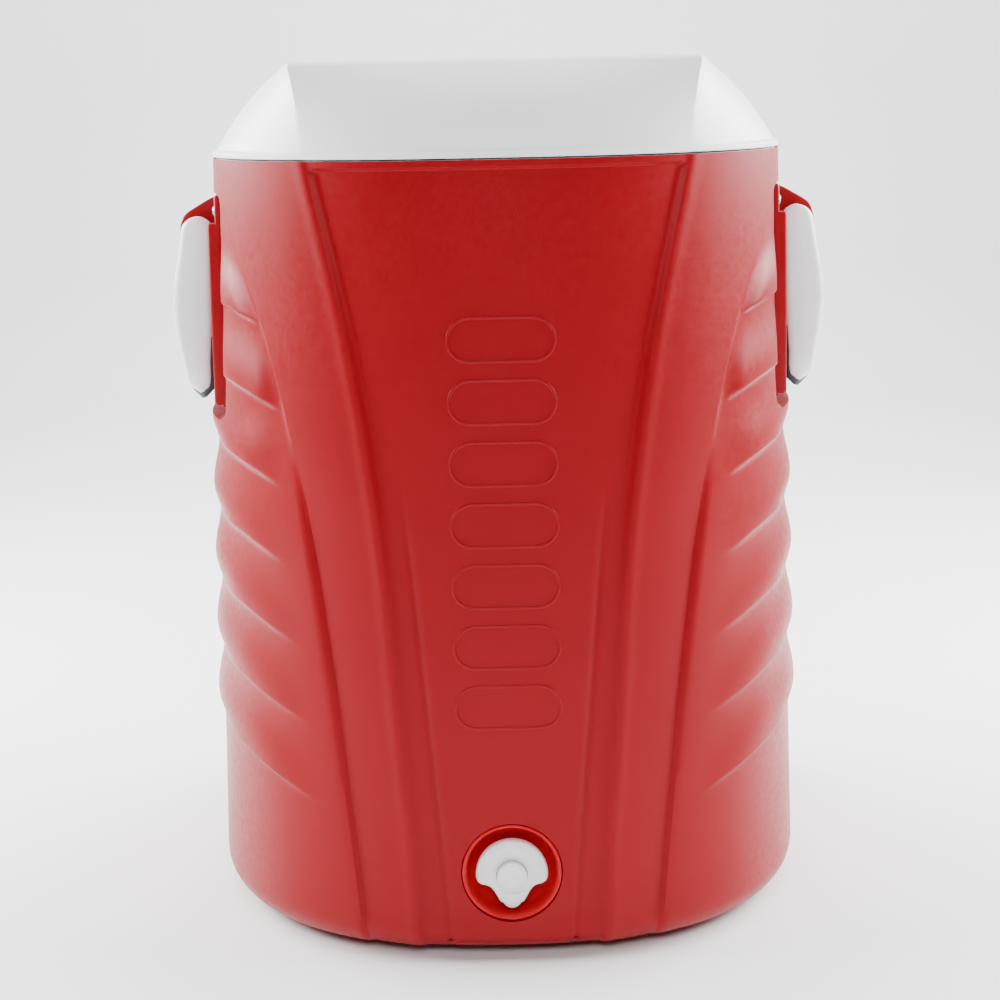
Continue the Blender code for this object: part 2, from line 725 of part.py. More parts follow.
def make_tap_spring():
    """A coil round the button's stem, between the button and the floor of its bore."""
    turns = 3.5
    wire = 0.0005
    start_y = -0.2087 + wire
    end_y = -0.2028 - wire
    steps = int(turns * 10)
    curve = bpy.data.curves.new("tap_spring", "CURVE")
    curve.dimensions = "3D"
    curve.bevel_depth = wire
    curve.bevel_resolution = 1
    curve.use_fill_caps = True
    spline = curve.splines.new("POLY")
    spline.points.add(steps)
    for i, point in enumerate(spline.points):
        turn = 2 * math.pi * i / 10
        y = start_y + (end_y - start_y) * i / steps
        point.co = (0.0072 * math.cos(turn), y, TAP_Z + 0.0072 * math.sin(turn), 1.0)
    add_object("tap_spring", curve, STEEL)


# ---------------------------------------------------------------- wheels, axle and feet

WHEEL_PROFILE = (  # (radius, distance outward from the wheel's middle), down the outside and up the bore
    (0.0430, 0.0145),
    (0.0430, -0.0145),
    (0.0400, -0.0145),
    (0.0385, -0.0030),
    (0.0130, -0.0030),
    (0.0115, -0.0170),
    (0.0053, -0.0170),
    (0.0053, 0.0100),
    (0.0120, 0.0100),
    (0.0145, 0.0030),
    (0.0385, 0.0030),
    (0.0400, 0.0145),
)

TYRE_PROFILE = (
    (0.0433, 0.0170),
    (0.0485, 0.0160),
    (0.0515, 0.0110),
    (0.0520, 0.0050),
    (0.0520, -0.0050),
    (0.0515, -0.0110),
    (0.0485, -0.0160),
    (0.0433, -0.0170),
)

CAP_PROFILE = (
    (0.0000, 0.0080),
    (0.0050, 0.0074),
    (0.0092, 0.0048),
    (0.0100, 0.0020),
    (0.0100, 0.0000),
    (0.0053, 0.0000),
    (0.0053, 0.0040),
    (0.0000, 0.0040),
)


def make_wheels():
    cylinder("axle", (0, AXLE_Y, AXLE_Z), AXLE_RADIUS, 2 * WHEEL_X + 0.0270, "x", STEEL, sides=20)
    for side, word in mirrored_sides():
        hub = (side * WHEEL_X, AXLE_Y, AXLE_Z)
        cap_at = (side * (WHEEL_X + 0.0103), AXLE_Y, AXLE_Z)
        turned(f"wheel_{word}", flipped(WHEEL_PROFILE, side), hub, "x", CHARCOAL, steps=26)
        turned(f"tyre_{word}", TYRE_PROFILE, hub, "x", RUBBER, steps=32)
        turned(f"axle_cap_{word}", flipped(CAP_PROFILE, side), cap_at, "x", CHARCOAL, steps=20)


def flipped(profile, side):
    """The profile for the far side of the object, still running down its outer side."""
    if side > 0:
        return profile
    return tuple((radius, -along) for radius, along in reversed(profile))


def make_feet():
    profile = (
        (0.0000, 0.0240),
        (0.0055, 0.0200),
        (0.0068, 0.0105),
        (0.0045, 0.0096),
        (0.0045, 0.0057),
        (0.0130, 0.0057),
        (0.0120, 0.0000),
        (0.0000, 0.0000),
    )
    for side, word in mirrored_sides():
        turned(f"foot_{word}", profile, (side * FOOT_AT[0], FOOT_AT[1], 0.0), "z", RUBBER, steps=20)


# ---------------------------------------------------------------- telescopic tow handle


def make_tow_handle():
    for side, word in mirrored_sides():
        x = side * TUBE_X
        middle = (x, TUBE_Y, sum(SLEEVE_Z) / 2)
        length = SLEEVE_Z[1] - SLEEVE_Z[0]
        sleeve = cylinder(f"tow_sleeve_{word}", middle, SLEEVE_RADIUS, length, "z", STEEL, sides=20)
        bore_radius = ROD_RADIUS + GAP
        cut(sleeve, cylinder(f"tow_sleeve_bore_{word}", middle, bore_radius, length + 0.02, "z", sides=20))
        rod_z = (SLEEVE_Z[0] + 0.008, TOW_TOP_Z - 0.008)
        rod_at = (x, TUBE_Y, sum(rod_z) / 2)
        cylinder(f"tow_rod_{word}", rod_at, ROD_RADIUS, rod_z[1] - rod_z[0], "z", STEEL, sides=20)
    make_tow_bracket("tow_upper_bracket", UPPER_BRACKET_Z, UPPER_SEAT_Y)
    make_tow_bracket("tow_lower_bracket", LOWER_BRACKET_Z, LOWER_SEAT_Y)
    make_tow_grip()


def make_tow_bracket(name, levels, seat_y):
    """A bar across the back that both sleeves pass through, with two sunk screw seats."""
    bracket = box(name, (-0.090, 0.160, levels[0]), (0.090, TOW_BACK_Y, levels[1]), CHARCOAL)
    cut(bracket, body_clearance(f"{name}_bed"))
    middle_z = sum(levels) / 2
    for side, word in mirrored_sides():
        at = (side * TUBE_X, TUBE_Y, middle_z)
        cut(bracket, cylinder(f"{name}_bore_{word}", at, SLEEVE_RADIUS + GAP, 0.08, "z", sides=20))
        at = (side * TOW_SCREW_X, TUBE_Y, middle_z)
        cut(bracket, cylinder(f"{name}_screw_bore_{word}", at, SCREW_BORE, 0.08, "y", sides=10))
        at = (at[0], seat_y + 0.05, middle_z)
        cut(bracket, cylinder(f"{name}_seat_{word}", at, 0.0060, 0.10, "y", sides=16))


def make_tow_grip():
    low = (-0.082, TUBE_Y - 0.0125, TOW_TOP_Z - 0.0220)
    grip = box("tow_grip", low, (0.082, TUBE_Y + 0.0125, TOW_TOP_Z), CHARCOAL, bevel=0.004)
    for side, word in mirrored_sides():
        at = (side * TUBE_X, TUBE_Y, TOW_TOP_Z - 0.0300)
        bore_length = 2 * (0.0300 - 0.0080 + GAP)
        cut(grip, cylinder(f"tow_grip_bore_{word}", at, ROD_RADIUS + GAP, bore_length, "z", sides=20))
    slot_low = (-0.0164, TUBE_Y - 0.0059, TOW_TOP_Z - 0.0110)
    cut(grip, box("tow_button_slot", slot_low, (0.0164, TUBE_Y + 0.0059, TOW_TOP_Z + 0.01)))
    low = (-0.0160, TUBE_Y - 0.0055, TOW_TOP_Z - 0.0065)
    box("tow_release_button", low, (0.0160, TUBE_Y + 0.0055, TOW_TOP_Z + 0.0025), WHITE, bevel=0.001)


# ---------------------------------------------------------------- screws


def make_screw(name, head_at, axis, outward):
    """A pan-head screw whose head sits on the face at head_at, with its thread running inwards."""
    head = Vector(head_at)
    direction = Vector((1, 0, 0)) if axis == "x" else Vector((0, 1, 0))
    direction = direction * outward
    screw = cylinder(name, head + direction * 0.0015, 0.0040, 0.0024, axis, STEEL, sides=14)
    thread = cylinder(f"{name}_thread", head - direction * 0.0065, SCREW_RADIUS, 0.0150, axis, sides=10)
    join(screw, thread)


def make_screws():
    for end, at, side in bracket_screws():
        make_screw(f"handle_screw_{end}", at, "x", side)
    for screw, at in back_screws():
        make_screw(screw, at, "y", 1)


make_body_shell()
make_foam()
make_liner()
make_lid()
make_hinges()
make_side_handles()
make_tap()
make_wheels()
make_feet()
make_tow_handle()
make_screws()
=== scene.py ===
"""The looks of an upright wheeled cooler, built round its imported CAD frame.

Every length is in metres, +Z is up and the front faces -Y.
"""

from math import copysign, cos, pi, radians, sin, sqrt

import bmesh
import bpy
import numpy as np
from mathutils import Matrix, Vector


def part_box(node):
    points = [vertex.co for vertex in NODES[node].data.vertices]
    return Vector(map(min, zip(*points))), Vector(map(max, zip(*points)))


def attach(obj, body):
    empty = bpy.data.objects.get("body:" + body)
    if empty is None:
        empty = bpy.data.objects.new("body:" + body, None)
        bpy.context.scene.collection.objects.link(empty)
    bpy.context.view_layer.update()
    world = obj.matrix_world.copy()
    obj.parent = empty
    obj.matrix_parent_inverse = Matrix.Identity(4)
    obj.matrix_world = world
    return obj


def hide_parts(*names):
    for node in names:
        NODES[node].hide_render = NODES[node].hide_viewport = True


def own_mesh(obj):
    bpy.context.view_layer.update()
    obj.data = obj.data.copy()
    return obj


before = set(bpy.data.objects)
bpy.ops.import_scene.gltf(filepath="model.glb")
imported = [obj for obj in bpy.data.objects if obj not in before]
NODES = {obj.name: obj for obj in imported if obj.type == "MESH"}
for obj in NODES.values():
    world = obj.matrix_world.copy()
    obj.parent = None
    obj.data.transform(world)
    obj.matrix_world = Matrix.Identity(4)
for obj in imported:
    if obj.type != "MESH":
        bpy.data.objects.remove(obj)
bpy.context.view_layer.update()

# ---- sizes from the frame

SHELL_LOW, SHELL_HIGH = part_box("body_shell")
LID_LOW, LID_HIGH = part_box("lid_shell")
WELL_LOW, WELL_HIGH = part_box("tap_well")
TYRE_LOW, TYRE_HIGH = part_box("tyre_right")
BUTTON_LOW, BUTTON_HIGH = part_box("tap_button")
PIN_LOW, PIN_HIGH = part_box("handle_pin_right")
GRIP_LOW, GRIP_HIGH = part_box("handle_grip_right")
BRACKET_LOW, BRACKET_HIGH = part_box("handle_bracket_right")
TOW_LOW, TOW_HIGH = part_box("tow_grip")

BASE_Z = SHELL_LOW.z
SHELL_TOP_Z = SHELL_HIGH.z
SEAM_Z = LID_LOW.z
LIP_TOP_Z = SEAM_Z - 0.0010  # the moulded skin runs up outside the tub's flange
LIP_START_Z = SHELL_TOP_Z - 0.0030
LIP_SUNK = 0.0006  # most that the panel is sunk at the lip
LIP_WALL = 0.0018
HALF_WIDTH = LID_HIGH.x  # outline at the seam
FRONT_DEPTH = -LID_LOW.y
BACK_DEPTH = 0.180
FLARE = 0.0095  # how much wider each side is at the foot than at the seam
FRONT_POWER = 2.35  # superellipse powers of the plan outline
BACK_POWER = 3.4
FOOT_FILLET = 0.020

MM = 0.001

# ---- mesh helpers


def smoothstep(low, high, value):
    share = np.clip((value - low) / (high - low), 0.0, 1.0)
    return share * share * (3 - 2 * share)


def bump_at(value, middle, width):
    """A bell of height 1 about middle."""
    return np.exp(-(((value - middle) / width) ** 2))


def link(name, data):
    obj = bpy.data.objects.new(name, data)
    bpy.context.scene.collection.objects.link(obj)
    return obj


def finish_bmesh(name, bm, sharp=35.0):
    bmesh.ops.recalc_face_normals(bm, faces=bm.faces)
    mesh = bpy.data.meshes.new(name)
    bm.to_mesh(mesh)
    bm.free()
    mesh.shade_smooth()
    mesh.set_sharp_from_angle(angle=radians(sharp))
    return link(name, mesh)


def lofted(name, rings, sharp=35.0, ring_closed=False):
    """A skin through rings of points. Ends are capped, or the last ring joins the first."""
    bm = bmesh.new()
    rows = [[bm.verts.new(point) for point in ring] for ring in rings]
    count = len(rings[0])
    pairs = list(zip(rows, rows[1:]))
    if ring_closed:
        pairs.append((rows[-1], rows[0]))
    for low, high in pairs:
        for i in range(count):
            j = (i + 1) % count
            bm.faces.new((low[i], low[j], high[j], high[i]))
    if not ring_closed:
        bm.faces.new(rows[0][::-1])
        bm.faces.new(rows[-1])
    return finish_bmesh(name, bm, sharp)


TURN_TO = {
    "x": Matrix.Rotation(radians(90), 4, "Y"),
    "y": Matrix.Rotation(radians(-90), 4, "X"),
    "z": Matrix.Identity(4),
}


def turned(name, profile, centre, axis, steps=72, closed=False, sharp=35.0):
    """A profile of (radius, distance along the axis) turned about the axis; radius 0 makes a point."""
    place = Matrix.Translation(centre) @ TURN_TO[axis]
    bm = bmesh.new()
    rows = []
    for radius, along in profile:
        if radius == 0:
            rows.append([bm.verts.new(place @ Vector((0, 0, along)))] * steps)
            continue
        row = []
        for i in range(steps):
            turn = 2 * pi * i / steps
            point = Vector((radius * cos(turn), radius * sin(turn), along))
            row.append(bm.verts.new(place @ point))
        rows.append(row)
    pairs = list(zip(rows, rows[1:]))
    if closed:
        pairs.append((rows[-1], rows[0]))
    for low, high in pairs:
        for i in range(steps):
            j = (i + 1) % steps
            corners = []
            for vert in (low[i], low[j], high[j], high[i]):
                if vert not in corners:
                    corners.append(vert)
            if len(corners) > 2:
                bm.faces.new(corners)
    return finish_bmesh(name, bm, sharp)


def rounded_profile(points, radius, steps=4):
    """The same closed outline of (a, b) points with each corner rounded by an arc-like curve."""
    found = []
    count = len(points)
    for i in range(count):
        corner = Vector(points[i])
        before = Vector(points[i - 1]) - corner
        after = Vector(points[(i + 1) % count]) - corner
        reach = min(radius, before.length * 0.45, after.length * 0.45)
        start = corner + before.normalized() * reach
        end = corner + after.normalized() * reach
        for step in range(steps + 1):
            share = step / steps
            first = start.lerp(corner, share)
            second = corner.lerp(end, share)
            found.append(tuple(first.lerp(second, share)))
    return found


def box(name, low, high, bevel=0.0):
    size = Vector(high) - Vector(low)
    middle = (Vector(high) + Vector(low)) / 2
    bm = bmesh.new()
    bmesh.ops.create_cube(bm, size=1.0)
    bmesh.ops.scale(bm, vec=size, verts=bm.verts)
    bmesh.ops.translate(bm, vec=middle, verts=bm.verts)
    if bevel:
        bmesh.ops.bevel(
            bm, geom=bm.edges[:], offset=bevel, segments=3, profile=0.5, affect="EDGES", clamp_overlap=True,
        )
    return finish_bmesh(name, bm)


def drum(name, centre, radius, length, axis, sides=64, bevel=0.0):
    """A round bar about its own middle. bevel rounds its rims."""
    half = length / 2
    outline = [(0, -half)]
    if bevel:
        for step in range(5):
            turn = radians(22.5 * step)
            outline.append((radius - bevel * (1 - sin(turn)), -half + bevel * (1 - cos(turn))))
    else:
        outline.append((radius, -half))
    outline += [(r, -a) for r, a in reversed(outline)]
    return turned(name, outline, centre, axis, sides)


def apply_boolean(obj, others, operation="DIFFERENCE", sharp=None):
    """Cuts or joins with each of the others, which are then removed. sharp is the angle of hard edges."""
    for other in others:
        modifier = obj.modifiers.new("boolean", "BOOLEAN")
        modifier.operation = operation
        modifier.object = other
    graph = bpy.context.evaluated_depsgraph_get()
    graph.update()
    mesh = bpy.data.meshes.new_from_object(obj.evaluated_get(graph))
    obj.modifiers.clear()
    obj.data = mesh
    for other in others:
        bpy.data.objects.remove(other)
    if sharp:
        mesh.shade_smooth()
        mesh.set_sharp_from_angle(angle=radians(sharp))


def swept(name, path, section, up=Vector((0, 0, 1)), closed=False, sharp=40.0):
    """A section of (across, up) points carried along a path, square to it."""
    rings = []
    count = len(path)
    for i, point in enumerate(path):
        before = path[i - 1] if closed or i else path[i]
        after = path[(i + 1) % count] if closed or i < count - 1 else path[i]
        forward = (Vector(after) - Vector(before)).normalized()
        across = forward.cross(up).normalized()
        rise = across.cross(forward).normalized()
        rings.append([Vector(point) + across * a + rise * b for a, b in section])
    return lofted(name, rings, sharp=sharp, ring_closed=closed)


def circle(radius, sides=10):
    return [
        (radius * cos(2 * pi * i / sides), radius * sin(2 * pi * i / sides))
        for i in range(sides)
    ]


def dress(obj, material, body, replaces=()):
    """Gives a piece its material, and says which body it moves with and which CAD nodes it stands for."""
    obj.data.materials.clear()
    obj.data.materials.append(material)
    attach(obj, body)
    if replaces:
        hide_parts(*replaces)
    return obj


# ---- materials


class Graph:
    """A material's node graph, written in short calls."""

    def __init__(self, name):
        self.material = bpy.data.materials.new(name)
        self.material.use_nodes = True
        self.nodes = self.material.node_tree.nodes
        self.links = self.material.node_tree.links
        self.shader = self.nodes["Principled BSDF"]
        self.place = self.node("ShaderNodeTexCoord").outputs["Object"]

    def node(self, kind, **settings):
        made = self.nodes.new(kind)
        for key, value in settings.items():
            setattr(made, key, value)
        return made

    def fill(self, node, values):
        """Sets sockets from a dictionary: a number or colour directly, another node's output by a link."""
        for key, value in values.items():
            if isinstance(value, bpy.types.NodeSocket):
                self.links.new(value, node.inputs[key])
            else:
                node.inputs[key].default_value = value

    def noise(self, scale, detail=3.0, roughness=0.55, stretch=None):
        place = self.place
        if stretch:
            mapping = self.node("ShaderNodeMapping")
            self.fill(mapping, {"Scale": stretch, "Vector": place})
            place = mapping.outputs["Vector"]
        made = self.node("ShaderNodeTexNoise")
        self.fill(made, {"Scale": scale, "Detail": detail, "Roughness": roughness, "Vector": place})
        return made.outputs["Fac"]

    def cells(self, scale):
        made = self.node("ShaderNodeTexVoronoi")
        self.fill(made, {"Scale": scale, "Vector": self.place})
        return made.outputs["Distance"]

    def spread(self, value, low, high, start=0.3, stop=0.7):
        """The value taken from start..stop to low..high."""
        made = self.node("ShaderNodeMapRange")
        self.fill(made, {"From Min": start, "From Max": stop, "To Min": low, "To Max": high, "Value": value})
        return made.outputs["Result"]

    def mixed(self, factor, first, second):
        made = self.node("ShaderNodeMix", data_type="RGBA")
        self.fill(made, {0: factor, 6: (*first, 1.0), 7: (*second, 1.0)})  # the colour sockets' places
        return made.outputs[2]

    def bump(self, height, distance, strength=1.0, below=None):
        made = self.node("ShaderNodeBump")
        self.fill(made, {"Strength": strength, "Distance": distance, "Height": height})
        if below is not None:
            self.fill(made, {"Normal": below})
        return made.outputs["Normal"]

    def edges(self, low, high):
        """1 on worn convex edges and 0 elsewhere."""
        pointed = self.node("ShaderNodeNewGeometry").outputs["Pointiness"]
        return self.spread(pointed, 0.0, 1.0, low, high)


def moulded(
    name, colour, faded, roughness, grain=(1400.0, 0.00006), waves=0.00025, specular=0.5, tint=(1, 1, 1)
):
    """Moulded plastic: fine grain (scale, depth), slow sink marks, faint colour drift and scuffed edges."""
    graph = Graph(name)
    drift = graph.spread(graph.noise(9.0, 4.0), 0.0, 0.45)
    scuff = graph.spread(graph.edges(0.53, 0.62), 0.0, 0.35, 0.0, 1.0)
    tone = graph.node("ShaderNodeMath", operation="ADD")
    graph.fill(tone, {0: drift, 1: scuff})
    slow = graph.bump(graph.noise(26.0, 2.0), waves, 0.6)
    graph.fill(graph.shader, {
        "Base Color": graph.mixed(tone.outputs[0], colour, faded),
        "Roughness": graph.spread(graph.noise(220.0, 2.0), roughness - 0.05, roughness + 0.07),
        "Normal": graph.bump(graph.noise(grain[0], 2.0), grain[1], 1.0, slow),
        "Specular IOR Level": specular,
        "Specular Tint": (*tint, 1.0),
    })
    return graph.material


def foam_material():
    graph = Graph("polyurethane_foam")
    bubbles = graph.cells(420.0)
    graph.fill(graph.shader, {
        "Base Color": graph.mixed(graph.spread(bubbles, 0.0, 1.0), (0.62, 0.46, 0.22), (0.82, 0.70, 0.44)),
        "Normal": graph.bump(bubbles, 0.0006),
        "Roughness": graph.spread(graph.noise(80.0), 0.86, 0.98),
    })
    return graph.material


def rubber_material(name, colour):
    graph = Graph(name)
    dust = graph.spread(graph.noise(45.0, 5.0), 0.0, 0.6, 0.45, 0.8)
    graph.fill(graph.shader, {
        "Base Color": graph.mixed(dust, colour, (0.10, 0.095, 0.085)),
        "Roughness": graph.spread(graph.noise(300.0), 0.68, 0.86),
        "Normal": graph.bump(graph.noise(1800.0, 2.0), 0.00008),
        "Specular IOR Level": 0.35,
    })
    return graph.material


def metal_material(name, colour, roughness, stretch):
    """Drawn or rolled metal with fine lines along it."""
    graph = Graph(name)
    lines = graph.noise(260.0, 3.0, 0.6, stretch)
    graph.fill(graph.shader, {
        "Base Color": graph.mixed(graph.spread(lines, 0.0, 1.0), colour, tuple(c * 0.82 for c in colour)),
        "Roughness": graph.spread(lines, roughness - 0.06, roughness + 0.10),
        "Normal": graph.bump(lines, 0.00004),
        "Metallic": 1.0,
    })
    return graph.material


RED_GLOSS = (1.0, 0.55, 0.55)
RED = moulded(
    "red_polyethylene", (0.235, 0.0008, 0.0050), (0.27, 0.0015, 0.0075), 0.38, (1100.0, 0.00008), 0.00012,
    0.24, RED_GLOSS,
)
# Painted light: the body's red polyethylene given a lighter base colour, standing in for light inside the
# shaded tap recess.
WELL_RED_PAINTED_LIGHT = moulded(
    "tap_well_red_painted_light", (0.46, 0.0016, 0.0075), (0.50, 0.003, 0.010), 0.42, specular=0.25, tint=RED_GLOSS
)
WHITE = moulded(
    "white_polypropylene", (0.93, 0.94, 0.95), (0.88, 0.89, 0.90), 0.36, (1500.0, 0.00005), 0.00018
)
HANDLE_WHITE = moulded(
    "white_handle_plastic", (0.84, 0.86, 0.88), (0.77, 0.79, 0.81), 0.32, (1500.0, 0.00004), 0.0001
)
LINER_WHITE = moulded("tub_white", (0.84, 0.85, 0.85), (0.78, 0.79, 0.80), 0.42, (900.0, 0.00006), 0.0003)
SLATE = moulded(
    "slate_soft_grip", (0.045, 0.070, 0.090), (0.075, 0.105, 0.125), 0.62, (1600.0, 0.00012), 0.0001, 0.3
)
CHARCOAL = moulded(
    "charcoal_nylon", (0.035, 0.037, 0.040), (0.065, 0.068, 0.072), 0.50, (1300.0, 0.00012)
)
SEAL = rubber_material("grey_silicone", (0.55, 0.57, 0.58))
RUBBER = rubber_material("black_rubber", (0.018, 0.018, 0.020))
FOAM = foam_material()
STEEL = metal_material("zinc_plated_steel", (0.62, 0.63, 0.65), 0.30, (1.0, 1.0, 0.3))
TUBE = metal_material("drawn_aluminium", (0.72, 0.73, 0.75), 0.28, (1.0, 1.0, 0.02))

# ---- the body's shape

PANEL_EDGE = (  # (height, half width) of the sunk front panel, in mm
    (0, 64), (85, 66.5), (127, 70.5), (194, 75.5), (256, 79.5), (302, 84), (363, 92), (423, 102), (480, 114),
    (545, 129),
)
BAND_EDGE = (  # outer edge of the band beside the panel
    (0, 98), (38, 101), (74, 104.5), (130, 110.5), (179, 115.5), (247, 124), (286, 129.5), (328, 137),
    (370, 146), (421, 158.5), (453, 169), (488, 183), (516, 194), (545, 202),
)
GROOVE = (  # line pressed into the lower part of the panel
    (0, 40.5), (15, 42), (38, 44.5), (70, 46.5), (113, 50), (200, 57.5), (300, 66), (430, 76), (545, 88),
)
GROOVE_FADE_Z = (0.250, 0.335)

CREASE_PITCH = 0.0514
CREASE_COUNT = 7
TOP_CREASE_Z = 0.4245  # the highest crease, at CREASE_X
CREASE_X = 0.160
SHINGLE_HEIGHT = 0.0046


def by_height(table):
    """The curve through (height, half width) points, rounded off where they turn."""
    heights = np.arange(-20.0, 580.0, 2.0)
    values = np.interp(heights, *zip(*table))
    kernel = np.hanning(27)
    padded = np.pad(values, 13, mode="edge")
    smooth = np.convolve(padded, kernel / kernel.sum(), mode="valid")
    return lambda z: np.interp(z, heights * MM, smooth * MM)


panel_edge = by_height(PANEL_EDGE)
band_edge = by_height(BAND_EDGE)
groove_at = by_height(GROOVE)


def flare_at(z):
    return FLARE * (SEAM_Z - z) / (SEAM_Z - BASE_Z)


def half_width(z, inset):
    return HALF_WIDTH + flare_at(z) - inset


def outline_from_turn(turn, z, inset):
    """Point and outward normal of the outline. turn runs from 0 at the front, by +X at 90, to the back."""
    front = turn < pi / 2
    power = np.where(front, FRONT_POWER, BACK_POWER)
    a = half_width(z, inset)
    b = np.where(front, FRONT_DEPTH, BACK_DEPTH) + flare_at(z) - inset
    across = np.abs(np.sin(turn)) ** (2 / power)
    along = np.abs(np.cos(turn)) ** (2 / power)
    x = a * across
    y = np.where(front, -b, b) * along
    nx = np.abs(np.sin(turn)) ** (2 - 2 / power) / a
    ny = np.where(front, -1.0, 1.0) * np.abs(np.cos(turn)) ** (2 - 2 / power) / b
    size = np.hypot(nx, ny)
    return x, y, nx / size, ny / size


def turn_of(x, z):
    """The turn at which the front outline has this half width."""
    share = np.clip(x / half_width(z, 0.0), 0.0, 0.998)
    return np.arcsin(share ** (FRONT_POWER / 2))


def crease_shift(x):
    """How much higher a crease lies at a half width than at CREASE_X."""
    inner = 0.46 * (np.maximum(x, 0.105) - CREASE_X)
    outer = 0.0155 * np.tanh((x - CREASE_X) / 0.030)
    return np.where(x < CREASE_X, inner, outer)


def shingle(level, side):
    """Height of the overlapping shingles, 0 to 1. side is 0 on the front and 1 round the sides."""
    top = TOP_CREASE_Z + CREASE_PITCH
    steps = (top - level) / CREASE_PITCH
    inside = (steps > 0) & (steps < CREASE_COUNT)
    share = steps - np.floor(steps)
    crisp = smoothstep(0.0, 0.84, share) ** 1.2 * (1 - smoothstep(0.90, 1.0, share))
    soft = smoothstep(0.0, 0.62, share) * (1 - smoothstep(0.64, 1.0, share))
    return np.where(inside, crisp * (1 - side) + soft * side, 0.0)


def relief(x, y, z, level):
    """How far the moulded surface stands out from the plain outline."""
    front = y < 0
    panel = panel_edge(z)
    band = band_edge(z)
    rim = smoothstep(0.010, 0.034, z)
    top = 1 - smoothstep(0.500, 0.545, z)
    sunk = np.where(front, 1 - smoothstep(panel - 0.0055, panel, x), 0.0)
    height = -0.0036 * sunk * (0.35 + 0.65 * rim)
    ridge = bump_at(x, panel + 0.0030, 0.0040) * np.where(front, 1.0, 0.0)
    height = height + 0.0009 * ridge * rim
    lower = 1 - smoothstep(0.270, 0.400, z)
    across = np.clip((x - panel) / np.maximum(band - panel, 0.004), 0.0, 1.0)
    in_band = smoothstep(-0.02, 0.02, x - panel) * (1 - smoothstep(band, band + 0.0032, x))
    in_band = np.where(front, in_band, 0.0)
    height = height - in_band * lower * 0.0022 * across**1.5 * rim
    outside = np.where(front, smoothstep(band, band + 0.0034, x), 1.0)
    fade = np.where(front, 1 - smoothstep(0.150, 0.196, x), 0.0)
    height = height + outside * fade * (0.0014 * lower - 0.0030 * (1 - lower)) * rim * top
    reach = smoothstep(band + 0.002 + 0.016 * lower, band + 0.014 + 0.050 * lower, x)
    reach = np.where(front, reach, 1.0)
    behind = 1 - smoothstep(0.085, 0.135, y)
    side = np.where(front, smoothstep(0.186, 0.207, x), 1.0)
    height = height + SHINGLE_HEIGHT * shingle(level, side) * reach * behind * top
    pressed = bump_at(x, groove_at(z), 0.0021) * (1 - smoothstep(*GROOVE_FADE_Z, z)) * rim
    return height - 0.0017 * pressed * np.where(front, 1.0, 0.0)


def body_rows():
    """Heights of the grid's rows, close together where a shingle folds under."""
    shares = (0.06, 0.14, 0.24, 0.34, 0.44, 0.54, 0.63, 0.71, 0.78, 0.84, 0.88, 0.905, 0.93, 0.955, 0.98)
    lowest = TOP_CREASE_Z - CREASE_PITCH * (CREASE_COUNT - 1)
    rows = list(np.linspace(BASE_Z + FOOT_FILLET, lowest, 26)[:-1])
    for k in range(CREASE_COUNT):
        bottom = lowest + CREASE_PITCH * k
        rows += [bottom + CREASE_PITCH * (1 - share) for share in reversed(shares)]
        rows.append(bottom)
    top = TOP_CREASE_Z + CREASE_PITCH
    rows += list(np.linspace(top, LIP_START_Z - 0.003, 19))
    rows += list(np.linspace(LIP_START_Z, LIP_TOP_Z, 9))
    return np.array(sorted(set(np.round(rows, 6))))


def eased(count, strength=0.6):
    """Shares from 0 to 1, closer together at both ends."""
    even = np.linspace(0, 1, count, endpoint=False)
    return (1 - strength) * even + strength * (1 - np.cos(np.pi * even)) / 2


COLUMNS = (18, 14, 26, 36, 40)  # to the groove, panel edge, band edge, side and back


def column_turns(z):
    """Turns of the columns of one half at each height: rows of z, columns round the half."""
    half = pi / 2
    zero = np.zeros_like(z)
    edges = [turn_of(edge(z), z) for edge in (groove_at, panel_edge, band_edge)]
    stops = [zero, *edges, zero + half, zero + pi]
    columns = []
    for count, start, stop in zip(COLUMNS, stops, stops[1:]):
        for share in eased(count):
            columns.append(start + (stop - start) * share)
    columns.append(stops[-1])
    return np.array(columns).T


def half_surface(rows):
    """Points of the +X half of the moulded surface."""
    turns = column_turns(rows)
    count = turns.shape[1]
    level = np.repeat(rows[:, None], count, axis=1)
    x0 = outline_from_turn(turns, level, 0.0)[0]
    sheared = smoothstep(0.035, 0.110, level) * (1 - smoothstep(0.430, 0.520, level))
    z = level + sheared * crease_shift(x0)
    turns = np.stack([column_turns(z[:, k])[:, k] for k in range(count)], axis=1)
    x, y, nx, ny = outline_from_turn(turns, z, 0.0)
    height = relief(x, y, z, level)
    held = smoothstep(LIP_START_Z, SHELL_TOP_Z - 0.0004, z)
    height = np.where(height < -LIP_SUNK, height * (1 - held) - LIP_SUNK * held, height)
    return x + nx * height, y + ny * height, z, nx, ny


def front_point(x, z, lift=0.0):
    """A point on the front panel, stood out by lift."""
    turn = turn_of(np.array(abs(x)), np.array(z))
    px, py, nx, ny = outline_from_turn(turn, np.array(z), 0.0)
    height = relief(px, py, np.array(z), np.array(z)) + lift
    return Vector((copysign(float(px + nx * height), x), float(py + ny * height), z))


